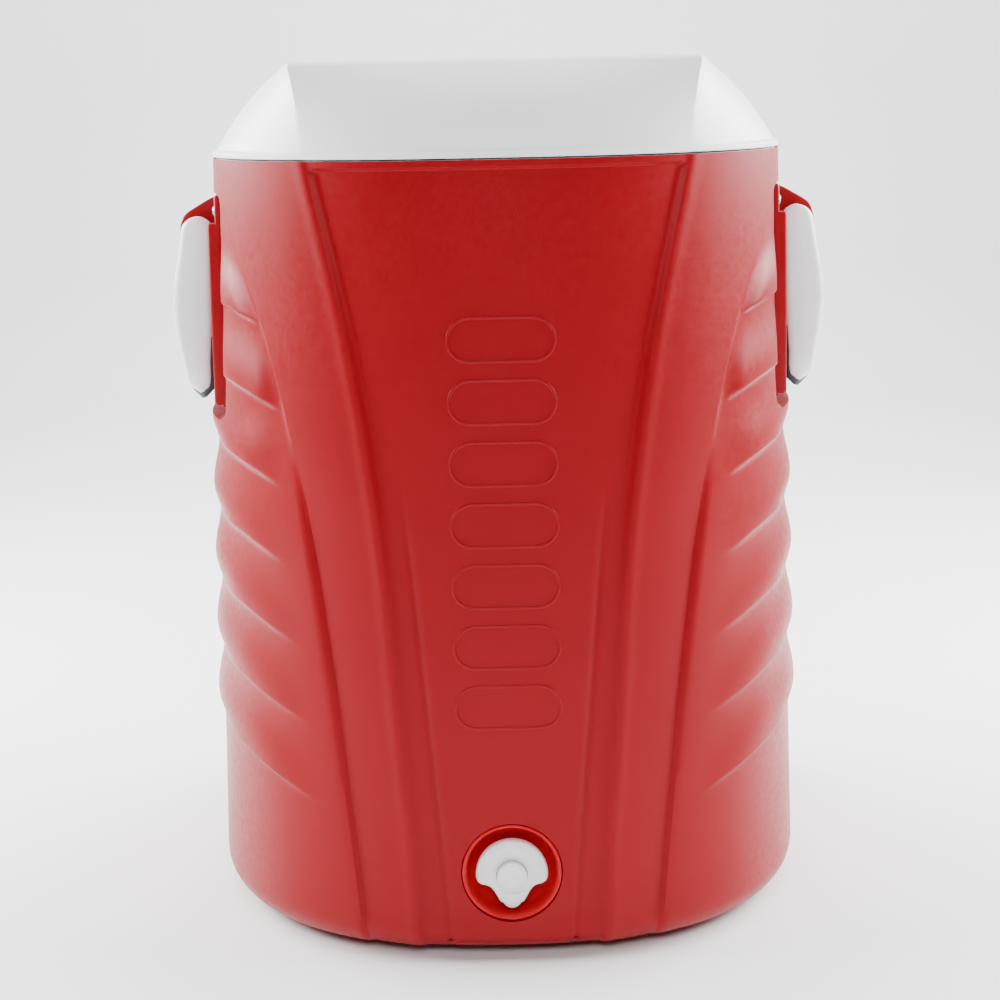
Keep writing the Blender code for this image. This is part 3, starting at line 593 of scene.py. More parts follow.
def make_body_surface():
    rows = body_rows()
    x, y, z, nx, ny = half_surface(rows)
    foot_x, foot_y, foot_z = [], [], []
    for step in range(8):
        turn = radians(90 * step / 8)
        inset = FOOT_FILLET * (1 - sin(turn))
        foot_x.append(x[0] - nx[0] * inset)
        foot_y.append(y[0] - ny[0] * inset)
        foot_z.append(np.full_like(z[0], BASE_Z + FOOT_FILLET * (1 - cos(turn))))
    x = np.vstack([foot_x, x])
    y = np.vstack([foot_y, y])
    z = np.vstack([foot_z, z])
    rings = []
    for row in range(len(x)):
        right = list(zip(x[row], y[row], z[row]))
        left = [(-px, py, pz) for px, py, pz in reversed(right[1:-1])]
        rings.append(right + left)
    return lofted("body_shell_moulded", rings, sharp=38.0)


def plain_ring(z, inset, count=96):
    turns = np.linspace(0, pi, count // 2 + 1)
    x, y, _, _ = outline_from_turn(turns, np.full_like(turns, z), inset)
    right = [(float(a), float(b), z) for a, b in zip(x, y)]
    left = [(-a, b, z) for a, b, _ in reversed(right[1:-1])]
    return right + left


AXLE_LOW, AXLE_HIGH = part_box("axle")
AXLE_Y = (AXLE_LOW.y + AXLE_HIGH.y) / 2
AXLE_Z = (AXLE_LOW.z + AXLE_HIGH.z) / 2
WHEEL_RADIUS = TYRE_HIGH.y - AXLE_Y
WHEEL_X = (TYRE_LOW.x + TYRE_HIGH.x) / 2
WELL_RADIUS = WHEEL_RADIUS + 0.0075
WELL_INNER_X = TYRE_LOW.x - 0.006
SHELL_WALL = 0.003
POCKET_X = BRACKET_LOW.x - 0.0003
POCKET_FRONT_Y = -0.140  # the pocket's floor runs out of the bowed front here
POCKET_BACK_Y = BRACKET_HIGH.y + 0.001
POCKET_Z = (BRACKET_LOW.z - 0.006, BRACKET_HIGH.z + 0.001)
RECESS_Z = (WELL_LOW.z + WELL_HIGH.z) / 2
RECESS_RADIUS = (WELL_HIGH.z - WELL_LOW.z) / 2 + 0.0003
TAP_Z = (BUTTON_LOW.z + BUTTON_HIGH.z) / 2
TUNNEL_RADIUS = 0.0056  # hole for the axle
CLEAR = 0.300  # a distance outside the body, which cutters reach


def tunnel_cutter():
    return drum("tunnel_cutter", (0, AXLE_Y, AXLE_Z), TUNNEL_RADIUS, 0.34, "x", 24)


def side_cutters(grow):
    return [cutter(side, grow) for side in (-1, 1) for cutter in (well_cutter, pocket_cutter)]


def well_cutter(side, grow):
    radius = WELL_RADIUS + grow
    arch = []
    for step in range(25):
        turn = radians(180 - 90 * step / 24)
        arch.append((AXLE_Y + radius * cos(turn), AXLE_Z + radius * sin(turn)))
    outline = [(AXLE_Y - radius, -0.05), *arch, (CLEAR, AXLE_Z + radius), (CLEAR, -0.05)]
    ends = (side * (WELL_INNER_X - grow), side * CLEAR)
    return lofted("well_cutter", [[(x, y, z) for y, z in outline] for x in ends])


def pocket_cutter(side, grow):
    x = sorted((side * (POCKET_X - grow), side * CLEAR))
    low = (x[0], POCKET_FRONT_Y - grow, POCKET_Z[0] - grow)
    high = (x[1], POCKET_BACK_Y + grow, POCKET_Z[1] + grow)
    return box("pocket_cutter", low, high, bevel=0.006 + grow)


def make_body():
    shell = make_body_surface()
    hollow_inset = 2.5 * SHELL_WALL
    rings = [plain_ring(z, hollow_inset) for z in (BASE_Z + hollow_inset, 0.2, 0.4, SHELL_TOP_Z + 0.02)]
    hollow = lofted("hollow_cutter", rings)
    apply_boolean(hollow, side_cutters(SHELL_WALL))
    rim = lofted("rim_cutter", [plain_ring(z, LIP_WALL) for z in (SHELL_TOP_Z, SHELL_TOP_Z + 0.02)])
    recess_middle = (0, WELL_HIGH.y + 0.001 - 0.05, RECESS_Z)
    recess = drum("recess_cutter", recess_middle, RECESS_RADIUS + 0.0002, 0.10, "y", 96)
    cutters = side_cutters(0.0)
    apply_boolean(shell, [*cutters, hollow, rim, recess, tunnel_cutter()], sharp=38.0)
    dress(shell, RED, "body", ["body_shell"])


TUB_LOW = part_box("inner_liner")[0]
TUB_INSET = 0.0355
TUB_DRAFT = 0.010


def make_foam():
    """Insulation between the tub and the moulded skin."""
    inset = 3 * SHELL_WALL
    rings = [plain_ring(z, inset) for z in (BASE_Z + inset, 0.2, 0.4, SHELL_TOP_Z - 0.001)]
    foam = lofted("foam_filling", rings)
    cutters = side_cutters(1.3 * SHELL_WALL)
    rings = [plain_ring(TUB_LOW.z - 0.0005, TUB_INSET + TUB_DRAFT), plain_ring(SEAM_Z + 0.02, TUB_INSET)]
    tub = lofted("tub_cutter", rings)
    apply_boolean(tub, [well_cutter(side, 0.0116) for side in (-1, 1)])
    recess_middle = (0, WELL_HIGH.y - 0.05, RECESS_Z)
    recess = drum("recess_cutter", recess_middle, RECESS_RADIUS + 0.003, 0.11, "y", 48)
    bore = drum("bore_cutter", (0, -0.170, TAP_Z), 0.0095, 0.08, "y", 32)
    apply_boolean(foam, [*cutters, tub, recess, bore, tunnel_cutter()], sharp=38.0)
    dress(foam, FOAM, "body", ["body_foam"])


# ---- pattern on the front panel

BAR_COUNT = 7
BAR_TOP_Z = 0.437
BAR_BOTTOM_Z = 0.163
BAR_HALF_WIDTH = 0.0355
BAR_BEAD = 0.0012
BAR_SUNK = 0.0004  # how far a bead's centre lies under the panel


def make_front_pattern():
    """A column of plain rounded bars, each drawn by one raised bead."""
    pitch = (BAR_TOP_Z - BAR_BOTTOM_Z) / (BAR_COUNT - 0.30)
    half_height = pitch * 0.35
    for k in range(BAR_COUNT):
        middle = BAR_TOP_Z - half_height - pitch * k
        path = []
        straight = BAR_HALF_WIDTH - half_height
        for side in (1, -1):
            for step in range(13):
                turn = radians((90 if side > 0 else 270) - 15 * step)
                x = side * straight + half_height * cos(turn)
                path.append(front_point(x, middle + half_height * sin(turn), -BAR_SUNK))
            for step in range(1, 8):
                share = step / 8
                x = side * straight * (1 - 2 * share)
                path.append(front_point(x, middle - side * half_height, -BAR_SUNK))
        bead = swept(f"front_bar_{k + 1}", path, circle(BAR_BEAD, 10), up=Vector((0, -1, 0)), closed=True)
        dress(bead, RED, "body")


make_body()
make_foam()
make_front_pattern()

# ---- lid

LID_TOP_Z = LID_HIGH.z
CREASE_SEAM_X = 0.128  # half width where the lid's corner creases meet the seam
PLATEAU_HALF_WIDTH = 0.1405
PLATEAU_FRONT = 0.158
PLATEAU_BACK = 0.126
LID_BACK_CREASE = radians(42)  # turn of the back creases from the back's middle
LID_EDGE = 0.005  # rounding of the flat top's edge
LID_BOW = 0.004  # how far the front and back swell out at half height
LID_SKIRT = 0.0042  # height of the straight edge at the seam


def lid_ring(rise, inset, z):
    """A section of the lid at a share of its height: 0 is the seam's outline and 1 the flat top's edge."""
    blend = 1 - (1 - rise**1.1) ** 0.62
    crease = float(turn_of(np.array(CREASE_SEAM_X), np.array(SEAM_Z)))
    stops = (-crease, crease, pi - LID_BACK_CREASE, pi + LID_BACK_CREASE, 2 * pi - crease)
    width = PLATEAU_HALF_WIDTH - inset
    corners = [(-width, -PLATEAU_FRONT + inset), (width, -PLATEAU_FRONT + inset)]
    corners += [(width, PLATEAU_BACK - inset), (-width, PLATEAU_BACK - inset)]
    ring = []
    for side in range(4):
        (x0, y0), (x1, y1) = corners[side], corners[(side + 1) % 4]
        for share in eased(30, 0.75):
            turn = stops[side] + (stops[side + 1] - stops[side]) * share
            folded = abs((turn + pi) % (2 * pi) - pi)
            sx, sy, _, _ = outline_from_turn(np.array(folded), np.array(SEAM_Z), inset)
            sx = copysign(float(sx), sin(turn))
            top_x = x0 + (x1 - x0) * share
            top_y = y0 + (y1 - y0) * share
            bow = LID_BOW * sin(pi * share) * sin(pi * min(rise, 1.0))
            bow *= (-1, 0, 1, 0)[side]
            ring.append((sx + (top_x - sx) * blend, float(sy) + (top_y - float(sy)) * blend + bow, z))
    return ring


def make_lid():
    height = (LID_TOP_Z - SEAM_Z) / 0.985
    skirt = ((0.0042, 0.0002), (0.0006, 0.0002), (-0.0002, 0.0008), (-0.0002, LID_SKIRT - 0.0012))
    skirt += ((0.0004, LID_SKIRT - 0.0003), (0.0014, LID_SKIRT))
    rings = [lid_ring(0.0, inset, SEAM_Z + up) for inset, up in skirt]
    for rise in (0.085, 0.12, 0.17, 0.24, 0.32, 0.40, 0.48, 0.56, 0.64, 0.71, 0.78, 0.84, 0.885, 0.92):
        rings.append(lid_ring(rise, 0.0010, SEAM_Z + height * rise))
    start = rings[-1]
    for step in range(1, 6):
        turn = radians(18 * step)
        inset = LID_EDGE * (1 - cos(turn)) + 0.0010
        z = start[0][2] + (LID_TOP_Z - start[0][2]) * sin(turn)
        rings.append(lid_ring(0.92 + 0.065 * sin(turn) * 0.6, inset, z))
    rings.append([(x * 0.96, y * 0.96, LID_TOP_Z) for x, y, _ in rings[-1]])
    lid = lofted("lid_moulded", rings, sharp=24.0)
    hollow = lofted(
        "lid_hollow_cutter",
        [lid_ring(0.0, 0.0045, SEAM_Z - 0.01), lid_ring(0.10, 0.0050, SEAM_Z + 0.012)]
        + [lid_ring(rise, 0.0050, SEAM_Z + height * rise - 0.004) for rise in (0.4, 0.7, 0.9)],
    )
    apply_boolean(lid, [hollow], sharp=24.0)
    dress(lid, WHITE, "lid", ["lid_shell"])


# ---- side handles

PIVOT_X = (GRIP_LOW.x + GRIP_HIGH.x) / 2
PIVOT_Z = (PIN_LOW.z + PIN_HIGH.z) / 2
GRIP_DROP = PIVOT_Z - (GRIP_LOW.z + 0.0095)
ARM_Y = PIN_HIGH.y - 0.003
ARM_WIDTH = 0.013
BOSS_RADIUS = 0.0118
PLATE_X = 0.200
RIB_X = 0.2052  # ribs beside the arms
HOOD_HALF_Y = 0.0520
HOOD_LIP = 0.0012

HOOD_OUTLINE = (  # hook over the pivot, as (x, height over the pivot)
    (0.1945, 0.0262), (0.2020, 0.0262), (0.2085, 0.0232), (0.2145, 0.0196), (0.2205, 0.0162),
    (0.2258, 0.0124), (0.2284, 0.0060), (0.2286, -0.0005), (0.2267, -0.0052), (0.2243, -0.0040),
    (0.2246, 0.0010), (0.2236, 0.0062), (0.2205, 0.0105), (0.2150, 0.0124), (0.2098, 0.0112),
    (0.2060, 0.0080), (0.2040, 0.0030), (0.2036, -0.0060), (0.2005, -0.0150), (0.1945, -0.0170),
)

BAR_DROP = GRIP_DROP - 0.0040
BAR_HALF_DEPTH = 0.0084
BAR_OUT = 0.0028  # the bar sits this much outside the pivots
BAR_CORNER = 0.016
KEEL_AT = -0.10  # the ridge runs this share of the half depth from the middle, towards the body

BAIL_SPINE = (  # centre of the hanging arm: (outward from the pivot, down from it, half its depth)
    (0.0000, 0.0000, 0.0118), (0.0022, 0.0180, 0.0126), (0.0044, 0.0380, 0.0141),
    (0.0054, 0.0540, 0.0144), (0.0050, 0.0760, 0.0126), (0.0038, 0.0940, 0.0100),
)


def bail_path(steps=8):
    """Points down the front arm, round the bar and up the rear arm: (outward, y, down, half depth)."""
    arm = []
    for step in range(steps):
        turn = radians(84 - 84 * step / steps)
        arm.append((0.0, -ARM_Y, -BOSS_RADIUS * sin(turn), BOSS_RADIUS * cos(turn)))
    for (o0, d0, h0), (o1, d1, h1) in zip(BAIL_SPINE, BAIL_SPINE[1:]):
        for step in range(steps // 2):
            share = step / (steps // 2)
            arm.append((o0 + (o1 - o0) * share, -ARM_Y, d0 + (d1 - d0) * share, h0 + (h1 - h0) * share))
    low_out, low_down, low_half = BAIL_SPINE[-1]
    for step in range(steps + 1):
        turn = radians(90 * step / steps)
        share = step / steps
        y = -ARM_Y + BAR_CORNER * (1 - cos(turn))
        half = low_half + (BAR_HALF_DEPTH - low_half) * share
        down = low_down + (BAR_DROP - low_down) * sin(turn)
        arm.append((low_out + (BAR_OUT - low_out) * share, y, down, half))
    for y in (-0.036, -0.024, -0.012):
        arm.append((BAR_OUT, y, BAR_DROP, BAR_HALF_DEPTH))
    back = [(o, -y, d, h) for o, y, d, h in reversed(arm)]
    return [*arm, (BAR_OUT, 0.0, BAR_DROP, BAR_HALF_DEPTH), *back]


def on_bar(y):
    """0 on the arms and 1 on the bar between them."""
    return float(1 - smoothstep(0.046, 0.060, abs(y)))


def bail_rings(side, path, section):
    """Rings along the bail. section gives (outward, round the bend) points for a place's y and half depth."""
    rings = []
    away = Vector((side, 0, 0))
    for i, (out, y, down, half) in enumerate(path):
        before, after = path[max(i - 1, 0)], path[min(i + 1, len(path) - 1)]
        step = (side * (after[0] - before[0]), after[1] - before[1], before[2] - after[2])
        forward = Vector(step).normalized()
        bend = forward.cross(away).normalized() * side
        outward = (away - forward * forward.dot(away)).normalized()
        centre = Vector((side * (PIVOT_X + out), y, PIVOT_Z - down))
        rings.append([centre + outward * a + bend * b for a, b in section(y, half)])
    return rings


def squared(value, power):
    return copysign(abs(value) ** power, value)


def keeled(half, thick, keel, drop, sides=32):
    """An oval with a ridge on the outside of the bend: (outward, round the bend) points."""
    points = []
    for step in range(sides):
        turn = 2 * pi * step / sides
        across = half * squared(cos(turn), 0.80)
        rise = thick * squared(sin(turn), 0.80)
        if rise > 0:
            away = abs(across / half - KEEL_AT) / (1 - KEEL_AT)
            rise = (thick + drop) * (1 - keel * away) * min(1.0, rise / thick * 1.25)
        points.append((across, rise))
    return points


def bail_section(y, half):
    bar = on_bar(y)
    return keeled(half, ARM_WIDTH / 2, 0.24 + 0.56 * bar, 0.0044 * bar)


def grip_section(y, half):
    """A softer sleeve round the bar, which runs up behind each arm on the side of the body."""
    bar = on_bar(y)
    points = []
    width = half * (0.80 + 0.30 * bar)
    for across, rise in keeled(width, ARM_WIDTH / 2 + 0.0006, 0.80 * bar, 0.0060 * bar):
        rise = rise if rise < 0 else rise * (0.45 + 0.55 * bar)
        points.append((across - half * 0.30 * (1 - bar), rise))
    return points


GRIP_START_DOWN = 0.074
GRIP_TIP = 0.007  # how far the sleeve's pointed ends reach past its last section
RIB_COUNT = 7
RIB_PITCH = 0.009


def shrunk(ring, share, move):
    """The same ring made smaller about its own middle, then moved."""
    centre = sum(ring, Vector()) / len(ring)
    return [centre + move + (point - centre) * share for point in ring]


def handle_bore(side):
    return drum("bore", (side * PIVOT_X, 0, PIVOT_Z), 0.0035, 2 * ARM_Y + 0.0066, "y", 24)


def make_bail(side, word):
    body = f"handle_{word}"
    bail = lofted(f"bail_moulded_{word}", bail_rings(side, bail_path(), bail_section), sharp=50.0)
    apply_boolean(bail, [handle_bore(side)], sharp=42.0)
    dress(bail, HANDLE_WHITE, body, [f"handle_bail_{word}"])

    path = [point for point in bail_path() if point[2] >= GRIP_START_DOWN]
    rings = bail_rings(side, path, grip_section)
    tips = [shrunk(ring, 0.35, Vector((0, 0, GRIP_TIP))) for ring in (rings[0], rings[-1])]
    grip = lofted(f"grip_soft_{word}", [tips[0], *rings, tips[1]], sharp=50.0)
    dress(grip, SLATE, body, [f"handle_grip_{word}"])
    for k in range(RIB_COUNT):
        y = -0.027 + RIB_PITCH * k
        points = []
        for step in range(9):
            turn = radians(20 + 17.5 * step)
            x = side * (PIVOT_X + BAR_OUT + 0.0082 * cos(turn))
            points.append((x, y, PIVOT_Z - BAR_DROP + 0.0068 * sin(turn)))
        rib = swept(f"grip_rib_{word}_{k + 1}", points, circle(0.0009, 8), up=Vector((0, 1, 0)))
        dress(rib, SLATE, body)


def make_bracket(side, word):
    half_y = BRACKET_HIGH.y
    inner_x = BRACKET_LOW.x
    low = (min(side * inner_x, side * PLATE_X), -half_y, BRACKET_LOW.z)
    high = (max(side * inner_x, side * PLATE_X), half_y, BRACKET_HIGH.z)
    plate = box(f"bracket_moulded_{word}", low, high, bevel=0.0022)
    outline = rounded_profile([(side * x, PIVOT_Z + up) for x, up in HOOD_OUTLINE], 0.003)
    half, lip = HOOD_HALF_Y, HOOD_LIP
    rings = []
    middle = Vector((side * 0.212, PIVOT_Z + 0.006))
    ends = ((-half, lip), (-half + 0.0004, lip * 0.4), (-half + lip, 0.0), (half - lip, 0.0), (half, lip))
    for y, shrink in ends:
        ring = []
        for x, z in outline:
            away = Vector((x, z)) - middle
            point = middle + away * (1 - shrink / max(away.length, 0.004))
            ring.append((point.x, y, point.y))
        rings.append(ring)
    hood = lofted("hood", rings)
    cheeks = []
    for y in (-0.040, 0.040):
        x = sorted((side * 0.199, side * 0.2235))
        low, high = (x[0], y - 0.004, PIVOT_Z - 0.010), (x[1], y + 0.004, PIVOT_Z + 0.012)
        cheeks.append(box("cheek", low, high, 0.0015))
    for y in (-0.0757, 0.0757):
        x = sorted((side * (inner_x + 0.001), side * RIB_X))
        low, high = (x[0], y - 0.0042, BRACKET_LOW.z + 0.002), (x[1], y + 0.0042, PIVOT_Z + 0.008)
        cheeks.append(box("rib", low, high, 0.0020))
    apply_boolean(plate, [hood, *cheeks], "UNION")
    apply_boolean(plate, [handle_bore(side)], sharp=40.0)
    dress(plate, RED, "body", [f"handle_bracket_{word}"])


# ---- tap

FACE_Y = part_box("tap_body")[0].y
DOME_RADIUS = 0.0245
TAIL_Z = -0.0172
TAIL_RADIUS = 0.0068
SPOUT_Y = FACE_Y + 0.0085
BUTTON_RADIUS = (BUTTON_HIGH.z - BUTTON_LOW.z) / 2
BUTTON_FRONT_Y = BUTTON_LOW.y


def tap_outline(grow=0.0):
    """Outline of the tap's face about the button: a wide dome with two lobes over a narrow rounded tail."""
    right = [(0.0243, -0.0022), (0.0232, -0.0050), (0.0208, -0.0065), (0.0174, -0.0073), (0.0144, -0.0090)]
    right += [(0.0122, -0.0118), (0.0105, -0.0150), (0.0089, -0.0180), (0.0077, -0.0196)]
    for degrees in (-25, -45, -65, -80):
        turn = radians(degrees)
        right.append((TAIL_RADIUS * cos(turn), TAIL_Z + TAIL_RADIUS * sin(turn)))
    left = [(-x, z) for x, z in reversed(right)]
    top = []
    for step in range(37):
        turn = radians(183 - 186 * step / 36)
        top.append((DOME_RADIUS * cos(turn), DOME_RADIUS * sin(turn)))
    points = [*right, (0.0, TAIL_Z - TAIL_RADIUS), *left, *top]
    middle = Vector((0.0, -0.002))
    grown = []
    for point in points:
        away = Vector(point) - middle
        grown.append(tuple(middle + away * (1 + grow / away.length)))
    return grown


def make_tap():
    layers = ((0.0060, -0.0012), (0.0052, -0.0002), (0.0020, 0.0), (0.0008, -0.0006), (0.0002, -0.0016))
    rings = [[(x, FACE_Y + depth, TAP_Z + z) for x, z in tap_outline(grow)] for depth, grow in layers]
    rings.append([(x * 0.80, FACE_Y, TAP_Z + z * 0.80) for x, z in tap_outline(-0.0016)])
    tap = lofted("tap_moulded", rings, sharp=40.0)
    back_y = WELL_HIGH.y + 0.0007
    neck = drum("neck", (0, (back_y + FACE_Y + 0.003) / 2, TAP_Z), 0.0135, back_y - FACE_Y - 0.003, "y", 48)
    stem = drum("stem", (0, -0.1720, TAP_Z), 0.0065, 0.0430, "y", 32)
    spout = drum("spout", (0, SPOUT_Y, TAP_Z - 0.011), 0.0052, 0.0220, "z", 32, 0.0008)
    apply_boolean(tap, [neck, stem, spout], "UNION")
    ring_cut = turned(
        "ring_cutter",
        [(0.0137, -0.001), (0.0137, 0.0006), (0.0119, 0.0006), (0.0119, -0.001)],
        (0, FACE_Y, TAP_Z), "y", 72, closed=True,
    )
    outlet = drum("outlet", (0, SPOUT_Y, TAP_Z - 0.018), 0.0040, 0.0300, "z", 24)
    button_bore = drum("button_bore", (0, -0.2085, TAP_Z), BUTTON_RADIUS + 0.0004, 0.0120, "y", 64)
    channel = drum("channel", (0, -0.1750, TAP_Z), 0.0042, 0.0700, "y", 24)
    apply_boolean(tap, [ring_cut, outlet, button_bore, channel], sharp=40.0)
    dress(tap, HANDLE_WHITE, "body", ["tap_body"])

    profile = [(0, 0.0012), (0.0060, 0.0009), (0.0078, 0.0006), (0.0082, 0.0010), (0.0092, 0.0002)]
    profile += [(BUTTON_RADIUS - 0.0003, 0.0006), (BUTTON_RADIUS, 0.0014), (BUTTON_RADIUS, 0.0070)]
    profile += [(0.0020, 0.0070), (0.0016, 0.0074), (0.0016, 0.0235), (0, 0.0235)]
    button = turned("tap_button_moulded", profile, (0, BUTTON_FRONT_Y, TAP_Z), "y", 64)
    dress(button, HANDLE_WHITE, "tap_button", ["tap_button"])


def make_tap_well():
    """A shallow dish with a thin lip, over the deeper cup that the tap's thread passes through."""
    outer = RECESS_RADIUS - 0.0005
    rim_y = WELL_LOW.y - 0.0012
    dish_y = FACE_Y + 0.0125
    profile = [(0.0070, WELL_HIGH.y - 0.0005), (outer, WELL_HIGH.y - 0.0005), (outer, rim_y + 0.0010)]
    profile += [(outer - 0.0004, rim_y + 0.0002), (outer - 0.0012, rim_y), (outer - 0.0019, rim_y + 0.0006)]
    profile += [(outer - 0.0026, rim_y + 0.0030), (outer - 0.0040, dish_y - 0.0060)]
    profile += [(outer - 0.0058, dish_y - 0.0026), (outer - 0.0085, dish_y - 0.0008)]
    profile += [(outer - 0.0130, dish_y), (0.0070, dish_y)]
    well = turned("tap_well_moulded", profile, (0, 0, RECESS_Z), "y", 96, closed=True, sharp=50.0)
    apply_boolean(well, [drum("bore", (0, -0.19, TAP_Z), 0.0137, 0.08, "y", 48)], sharp=50.0)
    # The well wears the lighter copy of the body's red, painted light that lifts the recess's shade.
    dress(well, WELL_RED_PAINTED_LIGHT, "body", ["tap_well"])


def make_tap_spring():
    """The coil behind the button."""
    low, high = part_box("tap_spring")
    turns, wire = 4.5, 0.00045
    radius = (high.x - low.x) / 2 - wire
    steps = int(turns * 24)
    path = []
    for i in range(steps + 1):
        turn = 2 * pi * i / 24
        y = low.y + wire + (high.y - low.y - 2 * wire) * i / steps
        path.append((radius * cos(turn), y, TAP_Z + radius * sin(turn)))
    coil = swept("tap_spring_coil", path, circle(wire, 8), up=Vector((0, 1, 0)))
    dress(coil, STEEL, "body", ["tap_spring"])
    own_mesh(coil)


# ---- wheels and tow handle

SPOKES = 6
TREAD_BLOCKS = 36
TREAD_DEPTH = 0.0012


def make_wheel(side, word):
    body = f"wheel_{word}"
    hub_at = (side * WHEEL_X, AXLE_Y, AXLE_Z)
    rim = [(0.0432, 0.0145), (0.0432, -0.0145), (0.0418, -0.0150), (0.0402, -0.0140), (0.0394, -0.0080)]
    rim += [(0.0390, 0.0), (0.0394, 0.0080), (0.0402, 0.0140), (0.0418, 0.0150)]
    wheel = turned(f"wheel_spoked_{word}", rim, hub_at, "x", 96, closed=True)
    inward = -0.0170 * side
    outward = 0.0100 * side
    hub = [(0.0128, outward * 0.9), (0.0122, outward), (0.0053, outward), (0.0053, inward), (0.0120, inward)]
    hub.append((0.0130, inward * 0.9))
    pieces = [turned("hub", hub, hub_at, "x", 48, closed=True)]
    web = [(0.0395, 0.0016), (0.0395, -0.0016), (0.0110, -0.0016), (0.0110, 0.0016)]
    pieces.append(turned("web", web, hub_at, "x", 72, closed=True))
    for k in range(SPOKES):
        spoke = box("spoke", (-0.0100, -0.0030, 0.0110), (0.0100, 0.0030, 0.0400), 0.0010)
        spoke.data.transform(Matrix.Translation(hub_at) @ Matrix.Rotation(2 * pi * k / SPOKES, 4, "X"))
        pieces.append(spoke)
    apply_boolean(wheel, pieces, "UNION", sharp=35.0)
    dress(wheel, CHARCOAL, body, [f"wheel_{word}"])

    section = [(0.0434, 0.0168), (0.0470, 0.0168), (0.0495, 0.0156), (0.0511, 0.0130), (0.0518, 0.0095)]
    section += [(0.0520, 0.0050), (0.0520, 0.0015), (0.0512, 0.0008), (0.0512, -0.0008), (0.0520, -0.0015)]
    section += [(r, -a) for r, a in reversed(section[:6])]
    steps = TREAD_BLOCKS * 6
    rings = []
    for i in range(steps):
        turn = 2 * pi * i / steps
        ring = []
        for radius, along in section:
            on_tread = abs(along) > 0.004 and radius > 0.0494
            between = (i + (3 if along > 0 else 0)) % 6 == 0
            r = radius - (TREAD_DEPTH if on_tread and between else 0.0)
            ring.append((hub_at[0] + along, AXLE_Y + r * cos(turn), AXLE_Z + r * sin(turn)))
        rings.append(ring)
    tyre = lofted(f"tyre_treaded_{word}", rings, ring_closed=True, sharp=30.0)
    dress(tyre, RUBBER, body, [f"tyre_{word}"])


def make_tow_grip():
    """A rounded bar with finger ribs on its underside."""
    middle_y = (TOW_LOW.y + TOW_HIGH.y) / 2
    half_y = (TOW_HIGH.y - TOW_LOW.y) / 2
    middle_z = (TOW_LOW.z + TOW_HIGH.z) / 2
    half_z = (TOW_HIGH.z - TOW_LOW.z) / 2
    rings = []
    for i in range(61):
        share = -1 + 2 * i / 60
        end = min(1.0, (1 - abs(share)) / 0.10)
        size = 0.72 + 0.28 * sqrt(max(0.0, 1 - (1 - end) ** 2))
        wave = 0.0007 * cos(share * pi * 8) * (1 if abs(share) < 0.72 else 0)
        ring = []
        for step in range(36):
            turn = 2 * pi * step / 36
            y = half_y * size * squared(cos(turn), 0.55)
            z = half_z * size * squared(sin(turn), 0.55)
            if sin(turn) < -0.3:
                z += 0.0007 - wave
            ring.append((share * TOW_HIGH.x, middle_y + y, middle_z + z))
        rings.append(ring)
    grip = lofted("tow_grip_moulded", rings, sharp=50.0)
    slot_low, slot_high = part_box("tow_release_button")
    slot = box(
        "slot", (slot_low.x - 0.0004, slot_low.y - 0.0004, TOW_HIGH.z - 0.011),
        (slot_high.x + 0.0004, slot_high.y + 0.0004, TOW_HIGH.z + 0.01), 0.0010,
    )
    bores = [slot]
    for side in (-1, 1):
        rod_low, rod_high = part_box("tow_rod_right" if side > 0 else "tow_rod_left")
        at = ((rod_low.x + rod_high.x) / 2, middle_y, rod_high.z - 0.030)
        bores.append(drum("bore", at, (rod_high.x - rod_low.x) / 2 + 0.0003, 0.0606, "z", 32))
    apply_boolean(grip, bores, sharp=50.0)
    dress(grip, CHARCOAL, "tow_handle", ["tow_grip"])


def make_screws():
    """Pan heads with a cross recess, in place of the plain ones."""
    for name in NODES:
        if "screw" not in name:
            continue
        low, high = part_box(name)
        middle = (low + high) / 2
        size = high - low
        if size.x > size.y:
            side = 1 if middle.x > 0 else -1
            axis, seat = "x", Vector((high.x if side > 0 else low.x, middle.y, middle.z))
        else:
            side = 1
            axis, seat = "y", Vector((middle.x, high.y, middle.z))
        profile = [(0, 0), (0.0014, -0.0001), (0.0028, -0.0005), (0.0038, -0.0013), (0.0040, -0.0020)]
        profile += [(0.0040, -0.0024), (0.0020, -0.0024), (0.0020, -0.0166), (0, -0.0172)]
        profile = [(r, a * side) for r, a in profile]
        screw = turned(f"{name}_detailed", profile, seat, axis, 32)
        slots = []
        for wide, tall in ((0.0022, 0.0005), (0.0005, 0.0022)):
            reach = Vector((0.0009, wide, tall)) if axis == "x" else Vector((wide, 0.0009, tall))
            slots.append(box("slot", seat - reach, seat + reach))
        apply_boolean(screw, slots, sharp=40.0)
        dress(screw, STEEL, "body", [name])


# ---- CAD nodes that stay

KEPT_MATERIALS = (  # (start of the node's name, material)
    ("lid_foam", FOAM), ("inner_liner", LINER_WHITE), ("lid_liner", LINER_WHITE),
    ("lid_gasket", SEAL), ("tap_gasket", SEAL), ("tap_nut", CHARCOAL),
    ("axle_cap", CHARCOAL), ("axle", STEEL), ("foot", RUBBER), ("handle_pin", STEEL),
    ("hinge_body_leaf", CHARCOAL), ("hinge_pin", STEEL), ("hinge_lid_leaf", WHITE),
    ("tow_sleeve", TUBE), ("tow_rod", TUBE),
    ("tow_upper_bracket", CHARCOAL), ("tow_lower_bracket", CHARCOAL), ("tow_release_button", HANDLE_WHITE),
)


def dress_kept_nodes():
    for name, node in NODES.items():
        for start, material in KEPT_MATERIALS:
            if name.startswith(start):
                node.data.materials.clear()
                node.data.materials.append(material)
                break


make_lid()
for handle_side, handle_word in ((-1, "left"), (1, "right")):
    make_bail(handle_side, handle_word)
    make_bracket(handle_side, handle_word)
    make_wheel(handle_side, handle_word)
make_tap()
make_tap_well()
make_tap_spring()
make_tow_grip()
make_screws()
dress_kept_nodes()

